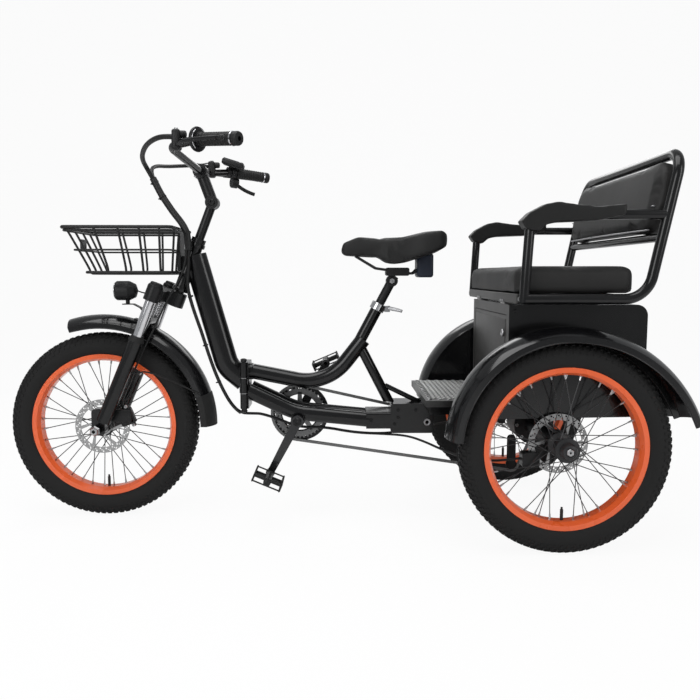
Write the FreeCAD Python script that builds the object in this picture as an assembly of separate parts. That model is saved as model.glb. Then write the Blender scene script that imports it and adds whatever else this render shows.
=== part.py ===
import FreeCAD, Part
import math
import os
from FreeCAD import Vector

# Passenger tricycle: a folding step-through cycle with a fork-mounted front wheel, two rear wheels
# on a cross axle, and an upholstered two-seat bench over a steel locker.
# Lengths are in millimetres. X runs forward, Y to the rider's left, Z up from the ground.
# Everything is measured from the rear axle's station; save() moves it to the footprint's centre.

# Wheels
wheelbase = 1276.0
rear_track = 660.0
tyre_radius = 275.0
tyre_width = 76.0
rim_flange_radius = 212.0
rim_depth = 20.0
rim_width = 58.0
tyre_seat = 4.0
rim_lip = 2.5
spoke_count = 36
spoke_radius = 1.3
front_hub_width = 84.0
rear_hub_width = 76.0
hub_flange_radius = 32.0
rear_flange_radius = 48.0
rotor_radius = 80.0
rotor_thickness = 2.0
axle_radius = 7.0
rear_axle_radius = 8.5
running_gap = 0.3
axle_height = tyre_radius

# Steering head: the axis leans back, and passes through the head tube's lower end
head_lean = 21.5
head_foot_x = 1048.0
head_foot_z = 672.0
head_length = 150.0
head_radius = 19.0
cup_radius = 22.5
cup_height = 12.0
crown_offset = 50.0
fork_half_width = 90.0
stanchion_radius = 14.5
lower_leg_radius = 20.0
arch_radius = 12.0
steer_limit = 40.0

# Fold block
fold_x = 858.0
fold_low_z = 327.0
fold_high_z = 464.0
fold_plate = 13.0
fold_half_width = 36.0
fold_pin_y = 47.0
fold_pin_radius = 5.0
fold_barrel_radius = 11.0
fold_seam = 0.5
fold_limit = 90.0

# Frame tubes
main_tube_depth = 70.0
main_tube_width = 56.0
upper_tube_radius = 23.0
lower_tube_height = 44.0
lower_tube_width = 34.0
lower_tube_y = 34.0
seat_tube_radius = 17.5
seat_post_radius = 13.5
seat_tube_lean = 28.0
seat_tube_top_x = 461.0
seat_tube_top_z = 627.0

# Cranks and chain
crank_x = 700.0
crank_z = 294.0
crank_length = 171.0
crank_angle = 62.0
crank_inner_y = 72.0
crank_arm_width = 14.0
spindle_radius = 8.5
bottom_shell_radius = 21.0
bottom_shell_half = 56.0
chain_y = -60.0
chainring_radius = 81.0
freewheel_radius = 42.0
pedal_y = 142.0
pedal_width = 92.0
pedal_length = 88.0
chain_gap = 1.0
chain_roller = 4.0
chain_pitch = 12.7

# Rear body
box_front_x = 128.0
box_rear_x = -243.0
box_half_width = 243.0
box_low_z = 360.0
box_high_z = 640.0
box_wall = 2.5
door_low_z = 392.0
door_high_z = 612.0
door_half_width = 215.0
door_gap = 2.0
door_limit = 88.0
board_front_x = 340.0
board_top_z = 374.0
board_half_width = 192.0
board_sheet = 2.5
rail_y = 150.0
rail_size = 30.0
nose_half_width = 50.0
boss_x = 318.0
boss_z = 285.0
boss_radius = 5.0
boss_depth = 24.0

# Passenger seat
seat_tube_d = 27.0
seat_side_y = 340.0
seat_rail_z = 658.0
seat_front_x = 115.0
seat_back_x = -166.0
seat_back_lean = 11.5
seat_top_z = 1023.0
arm_tube_z = 868.0
back_rail_z = 812.0
back_rail_radius = 11.0
cushion_height = 65.0
cushion_half_width = 322.0
cushion_front_x = 134.0
cushion_rear_x = -180.0
soft_gap = 0.4

# Fenders
front_fender_radius = 328.0
front_fender_half_width = 50.0
front_fender_lead = 17.0
front_fender_trail = 90.0
rear_fender_height = 589.0
rear_fender_front_radius = 308.0
rear_fender_rear_radius = 371.0
rear_fender_sweep = 69.3
rear_fender_half_width = 60.0
fender_sheet = 2.5

rim_inner_radius = rim_flange_radius - rim_depth
rear_overhang = rear_fender_rear_radius * math.sin(math.radians(rear_fender_sweep))
rear_axle_x = -(wheelbase + tyre_radius - rear_overhang) / 2
rear_wheel_y = rear_track / 2

lean = math.radians(head_lean)
steer_up = Vector(-math.sin(lean), 0, math.cos(lean))
steer_ahead = Vector(math.cos(lean), 0, math.sin(lean))


def save(shape, name):
    """Write one piece, moved from the rear axle's station to the footprint's centre."""
    shape = shape.copy()
    shape.translate(Vector(rear_axle_x, 0, 0))
    solids = shape.Solids
    if not solids or not shape.isValid():
        print("check", name, len(solids), shape.isValid())
    if len(solids) == 1:
        shape = solids[0]
    else:
        shape = Part.makeCompound(solids)
    shape.exportStep(os.path.join("parts", name + ".step"))


def rod(start, end, radius):
    """A round bar between two points."""
    along = end - start
    return Part.makeCylinder(radius, along.Length, start, along)


def pipe(start, end, radius, bore):
    """A round tube between two points."""
    return rod(start, end, radius).cut(rod(start, end, bore))


def block(low, high):
    """A box from its lowest to its highest corner."""
    size = [b - a for a, b in zip(low, high)]
    return Part.makeBox(size[0], size[1], size[2], Vector(*low))


def rounded_block(low, high, radius, axis):
    """A box with its four edges along one axis rounded."""
    body = block(low, high)
    edges = [e for e in body.Edges if abs(abs(e.tangentAt(0).dot(axis)) - 1) < 1e-6]
    return body.makeFillet(radius, edges)


def join(pieces):
    """One solid from pieces that overlap."""
    return pieces[0].multiFuse(pieces[1:]).removeSplitter() if len(pieces) > 1 else pieces[0]


def bend_path(points, radius):
    """Straight runs joined by tangent arcs; radius is one value or one for each inner point."""
    inner = len(points) - 2
    radii = list(radius) if isinstance(radius, (list, tuple)) else [radius] * inner
    edges = []
    at = points[0]
    for before, corner, after, r in zip(points, points[1:], points[2:], radii):
        back = (before - corner).normalize()
        ahead = (after - corner).normalize()
        half = back.getAngle(ahead) / 2
        reach = r / math.tan(half)
        first = corner + back * reach
        last = corner + ahead * reach
        middle = (back + ahead).normalize()
        mid = corner + middle * (r / math.sin(half) - r)
        if (first - at).Length > 1e-6:
            edges.append(Part.LineSegment(at, first).toShape())
        edges.append(Part.Arc(first, mid, last).toShape())
        at = last
    edges.append(Part.LineSegment(at, points[-1]).toShape())
    return Part.Wire(edges)


def sweep(path, profile, level=None):
    """A solid swept along a path; level is the direction that stays across the profile."""
    shell = Part.BRepOffsetAPI.MakePipeShell(path)
    if level is None:
        shell.setFrenetMode(False)
    else:
        shell.setBiNormalMode(level)
    shell.add(profile)
    shell.build()
    shell.makeSolid()
    return shell.shape()


def bent_tube(points, radius, bend):
    """A round tube along straight runs and tangent arcs."""
    start = points[0]
    ring = Part.Wire([Part.makeCircle(radius, start, points[1] - start)])
    return sweep(bend_path(points, bend), ring)


def oval(centre, along, width, height):
    """An oval profile in the XZ frame's tube: width lies along Y, height across the tube."""
    across = Vector(0, 1, 0)
    up = along.cross(across).normalize()
    long_way, short_way = (up, across) if height > width else (across, up)
    half_long = max(width, height) / 2
    half_short = min(width, height) / 2
    curve = Part.Ellipse(centre + long_way * half_long, centre + short_way * half_short, centre)
    return Part.Wire([curve.toShape()])


def oval_tube(points, bend, width, height):
    """An oval tube bent in the frame's middle plane."""
    profile = oval(points[0], points[1] - points[0], width, height)
    return sweep(bend_path(points, bend), profile, Vector(0, 1, 0))


def turn(outline, centre, axis, angle=360.0):
    """A revolved solid from a closed list of points."""
    face = Part.Face(Part.makePolygon(outline + [outline[0]]))
    return face.revolve(centre, axis, angle)


def strap(points, thickness, y_low, y_high):
    """A flat bar folded along points in the middle plane, from one side to the other."""
    above = []
    below = []
    for i, p in enumerate(points):
        before = points[max(i - 1, 0)]
        after = points[min(i + 1, len(points) - 1)]
        along = (after - before).normalize()
        out = Vector(-along.z, 0, along.x) * (thickness / 2)
        above.append(p + out + Vector(0, y_low, 0))
        below.append(p - out + Vector(0, y_low, 0))
    ring = above + below[::-1]
    return Part.Face(Part.makePolygon(ring + [ring[0]])).extrude(Vector(0, y_high - y_low, 0))


def steer_point(ahead, left, up):
    """A point in the steering head's frame: ahead of the axis, to the left, up from the foot."""
    foot = Vector(head_foot_x, 0, head_foot_z)
    return foot + steer_ahead * ahead + Vector(0, left, 0) + steer_up * up


def fork_arch_height():
    """How far up the head's axis the fork arch lies, resting on the front fender's crown."""
    start = steer_point(crown_offset, 0, 0) - Vector(wheelbase, 0, axle_height)
    reach = front_fender_radius + arch_radius + soft_gap
    along = start.dot(steer_up)
    return -along + math.sqrt(along * along - start.dot(start) + reach * reach)


arch_up = fork_arch_height()


def wheel_ring(outline, x, y):
    """A ring about a wheel's axle, from points given as (radius, offset along the axle)."""
    points = [Vector(x, y + offset, axle_height + radius) for radius, offset in outline]
    return turn(points, Vector(x, y, axle_height), Vector(0, 1, 0))


def make_tyre(x, y):
    """A round-crowned balloon tyre, seated on the rim."""
    half = tyre_width / 2
    seat = rim_flange_radius - tyre_seat
    lip = rim_flange_radius + soft_gap
    inner = rim_width / 2 - rim_lip - soft_gap
    belly = (tyre_radius + seat) / 2
    shoulder = tyre_radius - 14

    def at(radius, offset):
        return Vector(x, y + offset, axle_height + radius)

    edges = [Part.LineSegment(at(seat, inner), at(seat, -inner)),
             Part.LineSegment(at(seat, -inner), at(lip, -inner)),
             Part.Arc(at(lip, -inner), at(lip + 10, -half + 3.5), at(belly, -half)),
             Part.Arc(at(belly, -half), at(belly + 12, -half + 1.5), at(shoulder, -half + 9)),
             Part.Arc(at(shoulder, -half + 9), at(tyre_radius, 0), at(shoulder, half - 9)),
             Part.Arc(at(shoulder, half - 9), at(belly + 12, half - 1.5), at(belly, half)),
             Part.Arc(at(belly, half), at(lip + 10, half - 3.5), at(lip, inner)),
             Part.LineSegment(at(lip, inner), at(seat, inner))]
    face = Part.Face(Part.Wire([e.toShape() for e in edges]))
    return face.revolve(Vector(x, y, axle_height), Vector(0, 1, 0), 360)


def make_rim(x, y):
    """A double-wall rim with two low flanges, hollow towards the tyre."""
    half = rim_width / 2
    seat = rim_flange_radius - tyre_seat - soft_gap
    outline = [(rim_inner_radius, -half + 14), (rim_inner_radius + 7, -half),
               (rim_flange_radius, -half), (rim_flange_radius, -half + rim_lip),
               (seat, -half + rim_lip), (seat, half - rim_lip), (rim_flange_radius, half - rim_lip),
               (rim_flange_radius, half), (rim_inner_radius + 7, half),
               (rim_inner_radius, half - 14)]
    return wheel_ring(outline, x, y)


def make_hub(x, y, width, flange_radius, bore, outboard, cap_length):
    """Hub shell, two flanges, an outboard cap and crossed spokes up to the rim."""
    half = width / 2
    flange = 5.0
    core = flange_radius * 0.55
    outline = [(bore, -half), (core, -half), (flange_radius, -half + 4),
               (flange_radius, -half + 4 + flange), (core, -half + 16), (core, half - 16),
               (flange_radius, half - 4 - flange), (flange_radius, half - 4),
               (core, half), (bore, half)]
    body = [wheel_ring(outline, x, y)]
    if cap_length:
        start = y + outboard * (half - 1)
        end = Vector(x, start + outboard * cap_length, axle_height)
        cap = rod(Vector(x, start, axle_height), end, 22)
        hole = rod(Vector(x, start - outboard, axle_height), end - Vector(0, outboard * 6, 0), bore)
        body.append(cap.cut(hole))
    lace_radius = flange_radius - 5
    reach = rim_inner_radius - 0.3
    per_side = spoke_count // 2
    spokes = []
    for side in (-1, 1):
        for i in range(per_side):
            foot_angle = 2 * math.pi * (i + 0.25 * side) / per_side
            pull = math.radians(52) * (1 if i % 2 else -1)
            head_angle = foot_angle + pull * (1 - lace_radius / reach) * 0.9
            foot = Vector(x + lace_radius * math.cos(foot_angle), y + side * (half - 6),
                          axle_height + lace_radius * math.sin(foot_angle))
            head = Vector(x + reach * math.cos(head_angle), y + side * 5,
                          axle_height + reach * math.sin(head_angle))
            along = head - foot
            along.normalize()
            across = along.cross(Vector(0, 1, 0)).normalize()
            other = along.cross(across)
            ring = [foot + (across * math.cos(a) + other * math.sin(a)) * spoke_radius
                    for a in (math.pi / 3 * n for n in range(6))]
            face = Part.Face(Part.makePolygon(ring + [ring[0]]))
            spokes.append(face.extrude(head - foot))
    return join(body + spokes)


def make_rotor(x, y):
    """A brake disc: a slotted steel ring on a six-armed spider."""
    half = rotor_thickness / 2
    centre = Vector(x, y - half, axle_height)
    axis = Vector(0, 1, 0)
    ring = Part.makeCylinder(rotor_radius, rotor_thickness, centre, axis)
    ring = ring.cut(Part.makeCylinder(rotor_radius - 17, rotor_thickness, centre, axis))
    boss = Part.makeCylinder(24, rotor_thickness, centre, axis)
    boss = boss.cut(Part.makeCylinder(rotor_bore, rotor_thickness, centre, axis))
    arms = []
    for i in range(6):
        arm = block((20, 0, -4), (rotor_radius - 14, rotor_thickness, 4))
        arm.rotate(Vector(0, 0, 0), axis, 60.0 * i + 15)
        arm.translate(centre)
        arms.append(arm)
    return join([ring, boss] + arms)


rotor_bore = 19.0
wheels = {
    "front": (wheelbase, 0.0, 1),
    "rear_left": (0.0, rear_wheel_y, 1),
    "rear_right": (0.0, -rear_wheel_y, -1),
}


def make_wheels():
    """Three spoked wheels, each with tyre, rim, laced hub and brake disc."""
    for name, (x, y, side) in wheels.items():
        save(make_tyre(x, y), name + "_tyre")
        save(make_rim(x, y), name + "_rim")
        if name == "front":
            hub = make_hub(x, y, front_hub_width, hub_flange_radius, axle_radius + running_gap, side, 0)
            rotor_y = y + front_hub_width / 2 + rotor_thickness / 2
        else:
            hub = make_hub(x, y, rear_hub_width, rear_flange_radius, rear_axle_radius + running_gap,
                           side, 20)
            rotor_y = y - side * (rear_hub_width / 2 + rotor_thickness / 2 + 8)
            start = Vector(x, y - side * (rear_hub_width / 2 - 1), axle_height)
            end = Vector(x, y - side * (rear_hub_width / 2 + 8), axle_height)
            hub = join([hub, pipe(start, end, 24, rear_axle_radius + running_gap)])
        save(hub, name + "_hub")
        save(make_rotor(x, rotor_y), name + "_brake_disc")


def make_fork():
    """Suspension fork: crown and steerer, chromed stanchions, cast lower legs with an arch."""
    crown_top = -6.0
    crown_low = -48.0
    steerer = rod(steer_point(0, 0, crown_top - 10), steer_point(0, 0, head_length + 2), 12.5)
    legs = []
    for y in (-fork_half_width, fork_half_width):
        legs.append(rod(steer_point(crown_offset, y, crown_low), steer_point(crown_offset, y, crown_top),
                        stanchion_radius + 8))
    centre = rod(steer_point(0, 0, crown_low), steer_point(0, 0, crown_top), 24)
    bridge = Part.makeBox(40, 2 * fork_half_width, crown_top - crown_low - 8)
    bridge.translate(Vector(crown_offset - 26, -fork_half_width, crown_low + 4))
    neck = Part.makeBox(40, 60, crown_top - crown_low - 8)
    neck.translate(Vector(0, -30, crown_low + 4))
    bodies = []
    for piece in (bridge, neck):
        piece.rotate(Vector(0, 0, 0), Vector(0, 1, 0), -head_lean)
        piece.translate(Vector(head_foot_x, 0, head_foot_z))
        bodies.append(piece)
    crown = join([centre] + legs + bodies + [steerer])
    stanchion_low = -200.0
    stanchions = []
    for y in (-fork_half_width, fork_half_width):
        tube = rod(steer_point(crown_offset, y, stanchion_low), steer_point(crown_offset, y, crown_low),
                   stanchion_radius)
        stanchions.append(tube)
    for y in (-36.0, 36.0):
        stanchions.append(rod(steer_point(crown_offset, y, arch_up + arch_radius + soft_gap),
                              steer_point(crown_offset, y, crown_low + 4), 7.5))
    stanchion_set = Part.makeCompound(stanchions).cut(crown)
    axle = Vector(wheelbase, 0, axle_height)
    leg_top = -172.0
    pieces = []
    for side in (-1, 1):
        y = side * fork_half_width
        top = steer_point(crown_offset, y, leg_top)
        foot = steer_point(crown_offset + 8, y, -425.0)
        leg = rod(foot, top, lower_leg_radius)
        dropout_low = Vector(axle.x, side * (front_hub_width / 2 + 16), axle.z)
        plate = rounded_block((axle.x - 22, min(y, dropout_low.y), axle.z - 18),
                              (axle.x + 16, max(y, dropout_low.y), axle.z + 60), 12, Vector(0, 1, 0))
        pieces += [leg, plate]
    bar = []
    for side in (-1, 1):
        y = side * fork_half_width
        low = steer_point(crown_offset, y, leg_top - 12)
        knee = steer_point(crown_offset, side * 52.0, arch_up)
        bar += [low, knee] if side < 0 else [knee, low]
    arch = bent_tube(bar, arch_radius, 18)
    lowers = join(pieces + [arch])
    wells = [rod(steer_point(crown_offset, y, stanchion_low - 1), steer_point(crown_offset, y, crown_low),
                 stanchion_radius + 0.05) for y in (-fork_half_width, fork_half_width)]
    lowers = lowers.cut(Part.makeCompound(wells))
    spindle = rod(Vector(axle.x, -fork_half_width - 24, axle.z),
                  Vector(axle.x, fork_half_width + 24, axle.z), axle_radius)
    lowers = join([lowers, spindle])
    save(crown, "fork_crown")
    save(stanchion_set, "fork_stanchions")
    save(lowers, "fork_lowers")


def make_front_fender():
    """A round-shouldered mudguard about the front wheel, with its two wire stays."""
    axle = Vector(wheelbase, 0, axle_height)
    half = front_fender_half_width
    r = front_fender_radius
    depth = 24.0
    t = fender_sheet
    start = math.radians(front_fender_trail)
    outer = [(r - depth - 14, -half), (r - depth, -half), (r, 0), (r - depth, half), (r - depth - 14, half)]
    top = axle.z
    a = [Vector(axle.x, o, top + q) for q, o in outer]
    b = [Vector(axle.x, o * (1 - t / half), top + q - (t if abs(o) < half else 0)) for q, o in outer]
    edges = [Part.LineSegment(a[0], a[1]), Part.Arc(a[1], a[2], a[3]), Part.LineSegment(a[3], a[4]),
             Part.LineSegment(a[4], b[4]), Part.LineSegment(b[4], b[3]), Part.Arc(b[3], b[2], b[1]),
             Part.LineSegment(b[1], b[0]), Part.LineSegment(b[0], a[0])]
    face = Part.Face(Part.Wire([e.toShape() for e in edges]))
    face.rotate(axle, Vector(0, 1, 0), -front_fender_trail)
    guard = face.revolve(axle, Vector(0, 1, 0), front_fender_trail + front_fender_lead)
    save(guard, "front_fender")


def make_front_frame():
    """Main tube with the head tube, and the front half of the fold block."""
    plate_low_x = fold_x
    plate_high_x = fold_x + fold_plate
    main = oval_tube([Vector(1003, 0, 775), Vector(912, 0, 447), Vector(plate_low_x + 2, 0, 404)],
                     70, main_tube_width, main_tube_depth)
    main = main.cut(rod(steer_point(60, 0, -60), steer_point(60, 0, head_length + 60), 52))
    foot = steer_point(0, 0, 0)
    top = steer_point(0, 0, head_length)
    head = rod(foot, top, head_radius)
    cups = [rod(foot, steer_point(0, 0, cup_height), cup_radius),
            rod(steer_point(0, 0, head_length - cup_height), top, cup_radius)]
    plate = block((plate_low_x, -fold_half_width, fold_low_z),
                  (plate_high_x, fold_pin_y - fold_barrel_radius - 1.5, fold_high_z))
    plate = plate.makeFillet(8, [e for e in plate.Edges
                                 if abs(e.tangentAt(0).x) > 0.9 and e.CenterOfMass.y < 0])
    third = (fold_high_z - fold_low_z) / 3
    knuckle_low = fold_low_z + third + fold_seam
    knuckle_high = fold_low_z + 2 * third - fold_seam
    pin_low = Vector(fold_x - fold_seam / 2, fold_pin_y, 0)
    barrel = rod(pin_low + Vector(0, 0, knuckle_low), pin_low + Vector(0, 0, knuckle_high),
                 fold_barrel_radius)
    web = block((plate_low_x + 3, fold_pin_y - fold_barrel_radius - 3, knuckle_low),
                (plate_high_x, fold_pin_y, knuckle_high))
    pin = rod(pin_low + Vector(0, 0, fold_low_z - 3), pin_low + Vector(0, 0, fold_high_z + 3),
              fold_pin_radius)
    caps = [rod(pin_low + Vector(0, 0, fold_high_z + 1), pin_low + Vector(0, 0, fold_high_z + 5), 8),
            rod(pin_low + Vector(0, 0, fold_low_z - 5), pin_low + Vector(0, 0, fold_low_z - 1), 8)]
    space = block((fold_x - 60, -80, fold_low_z - 20), (fold_x, 80, fold_high_z + 20))
    body = join([main, head] + cups).cut(space)
    body = join([body, plate, barrel, web, pin] + caps)
    bore = rod(steer_point(0, 0, -1), steer_point(0, 0, head_length + 1), 12.5 + running_gap)
    body = body.cut(bore)
    save(body, "main_tube")
    lever_y = -fold_half_width - 9
    lever = rounded_block((fold_x + 2, lever_y - 7, fold_low_z + 22),
                          (fold_x + 22, lever_y + 7, fold_high_z - 14), 5, Vector(0, 0, 1))
    foot_pin = block((fold_x + 3, lever_y + 6, fold_low_z + 50), (fold_x + 12, -fold_half_width, fold_low_z + 66))
    save(join([lever, foot_pin]), "fold_lever")


def make_lower_frame():
    """Twin lower tubes with the crank shell, the rear fold plate and the sleeve to the rear frame."""
    plate_high_x = fold_x - fold_seam
    plate_low_x = plate_high_x - fold_plate
    tubes = []
    for y in (-lower_tube_y, lower_tube_y):
        tube = oval_tube([Vector(plate_low_x + 2, 0, 378), Vector(709, 0, 312), Vector(480, 0, 289)],
                         200, lower_tube_width, lower_tube_height)
        tube.translate(Vector(0, y, 0))
        tubes.append(tube)
    third = (fold_high_z - fold_low_z) / 3
    plate = block((plate_low_x, -fold_half_width, fold_low_z),
                  (plate_high_x, fold_pin_y - fold_barrel_radius - 1.5, fold_high_z))
    plate = plate.makeFillet(8, [e for e in plate.Edges
                                 if abs(e.tangentAt(0).x) > 0.9 and e.CenterOfMass.y < 0])
    pin_x = fold_x - fold_seam / 2
    knuckles = []
    for low, high in ((fold_low_z, fold_low_z + third), (fold_high_z - third, fold_high_z)):
        barrel = rod(Vector(pin_x, fold_pin_y, low), Vector(pin_x, fold_pin_y, high), fold_barrel_radius)
        web = block((plate_low_x, fold_pin_y - fold_barrel_radius - 3, low),
                    (plate_high_x - 3, fold_pin_y, high))
        knuckles += [barrel, web]
    shell = rod(Vector(crank_x, -bottom_shell_half, crank_z), Vector(crank_x, bottom_shell_half, crank_z),
                bottom_shell_radius)
    sleeve = rounded_block((400, -50, 264), (498, 50, 315), 8, Vector(1, 0, 0))
    nose = rounded_block((300, -nose_half_width, 252), (426, nose_half_width, 340), 8, Vector(0, 1, 0))
    for side in (-1, 1):
        mouth = Vector(boss_x, side * nose_half_width, boss_z)
        nose = nose.cut(rod(mouth - Vector(0, side * boss_depth, 0), mouth, boss_radius))
    space = block((fold_x - fold_seam, -80, fold_low_z - 20), (fold_x + 60, 80, fold_high_z + 20))
    frame = join(tubes + [plate, shell, sleeve, nose]).cut(space)
    clear = rod(Vector(pin_x, fold_pin_y, fold_low_z + third), Vector(pin_x, fold_pin_y, fold_high_z - third),
                fold_barrel_radius + 1)
    frame = frame.cut(clear)
    frame = join([frame] + knuckles)
    pin_hole = rod(Vector(pin_x, fold_pin_y, fold_low_z - 1), Vector(pin_x, fold_pin_y, fold_high_z + 1),
                   fold_pin_radius + running_gap)
    spindle_hole = rod(Vector(crank_x, -bottom_shell_half - 1, crank_z),
                       Vector(crank_x, bottom_shell_half + 1, crank_z), spindle_radius + running_gap)
    save(frame.cut(pin_hole).cut(spindle_hole), "lower_tubes")


def make_upper_frame():
    """The curved upper tube that sweeps up to the seat tube, the strut behind it and the brace."""
    plate_low_x = fold_x - fold_seam - fold_plate
    curve = bent_tube([Vector(plate_low_x - 8, 0, 432), Vector(615, 0, 388), Vector(506, 0, 527)],
                      upper_tube_radius, 150)
    stub = rod(Vector(plate_low_x, 0, 432), Vector(plate_low_x - 9, 0, 432), upper_tube_radius + 2)
    back = math.radians(seat_tube_lean)
    top = Vector(seat_tube_top_x, 0, seat_tube_top_z)
    down = Vector(math.sin(back), 0, -math.cos(back))
    seat_tube = rod(top, top + down * 135, seat_tube_radius)
    nose_top = 340.0
    strut = rod(Vector(516, 0, 508), Vector(420, 0, nose_top - 18), 15)
    strut = strut.cut(block((300, -40, 200), (560, 40, nose_top)))
    brace = rod(Vector(440, 0, 388), Vector(334, 0, 336), 7.5)
    brace = brace.cut(block((280, -40, 300), (560, 40, nose_top)))
    bore = rod(top + down * -5, top + down * 120, seat_post_radius + 0.05)
    save(join([curve, stub, seat_tube, strut, brace]).cut(bore), "upper_tube")
    collar = rod(top + down * 14, top + down * -8, seat_tube_radius + 4)
    collar = collar.cut(rod(top + down * 20, top + down * -20, seat_tube_radius + 0.1))
    lip = pipe(top + down * -0.2, top + down * -8, seat_tube_radius + 3, seat_post_radius + 0.4)
    ear = block((seat_tube_top_x - 34, -9, seat_tube_top_z - 18), (seat_tube_top_x - 18, 9, seat_tube_top_z))
    ear = ear.cut(rod(top + down * 30, top + down * -30, seat_tube_radius + 0.1))
    handle = rod(Vector(seat_tube_top_x - 30, 9, seat_tube_top_z - 8),
                 Vector(seat_tube_top_x - 66, 26, seat_tube_top_z - 14), 4.5)
    save(join([collar, lip, ear, handle]), "seat_clamp")
    post = rod(top + down * 110, top + down * -100, seat_post_radius)
    save(post, "seat_post")


def make_saddle():
    """A broad sprung saddle: pear-shaped from above, dished along its back."""
    x_tail = 266.0
    x_nose = 574.0
    side = [(x_nose, 785), (566, 812), (522, 830), (460, 823), (395, 823), (330, 838), (284, 845),
            (x_tail, 836), (x_tail, 800), (308, 783), (365, 765), (412, 750), (440, 754), (467, 771),
            (503, 775), (562, 774)]
    profile = Part.Face(Part.makePolygon([Vector(x, -150, z) for x, z in side]
                                         + [Vector(side[0][0], -150, side[0][1])]))
    slab = profile.extrude(Vector(0, 300, 0))
    half = [(x_nose, 0), (x_nose - 4, 16), (540, 24), (500, 28), (455, 36), (410, 62), (370, 92),
            (330, 106), (295, 104), (274, 84), (x_tail, 50)]
    left = [Vector(x, y, 700) for x, y in half]
    right = [Vector(x, -y, 700) for x, y in reversed(half[1:])]
    curve = Part.BSplineCurve()
    curve.interpolate(left + right, PeriodicFlag=True)
    plan = Part.Face(Part.Wire([curve.toShape()]))
    body = plan.extrude(Vector(0, 0, 200)).common(slab)
    save(body, "saddle")
    back = math.radians(seat_tube_lean)
    top = Vector(seat_tube_top_x, 0, seat_tube_top_z)
    up = Vector(-math.sin(back), 0, math.cos(back))
    post_top = top + up * 100
    clamp = rod(post_top + up * -16 + Vector(0, -19, 0), post_top + up * -16 + Vector(0, 19, 0), 17)
    clamp = clamp.cut(rod(top + up * -10, post_top, seat_post_radius + 0.1))
    rails = []
    for y in (-22.0, 22.0):
        path = [Vector(530, y * 0.5, 773.6), Vector(470, y, 738), Vector(360, y, 722), Vector(322, y, 764)]
        rails.append(bent_tube(path, 3.6, 14))
    base = rounded_block((312, -34, 716), (346, 34, 772), 8, Vector(0, 1, 0))
    mount = rounded_block((372, -30, 716), (440, 30, 740), 6, Vector(0, 1, 0))
    carriage = join([base, mount] + rails + [clamp]).cut(body)
    carriage = carriage.cut(rod(top + up * -10, post_top + up * 2, seat_post_radius + 0.1))
    save(carriage, "saddle_carriage")


def crank_end(side):
    """Where a crank's pedal spindle is: the left arm hangs forward and down."""
    a = math.radians(crank_angle)
    reach = Vector(crank_length * math.cos(a), 0, -crank_length * math.sin(a))
    return Vector(crank_x, 0, crank_z) + reach * side


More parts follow.
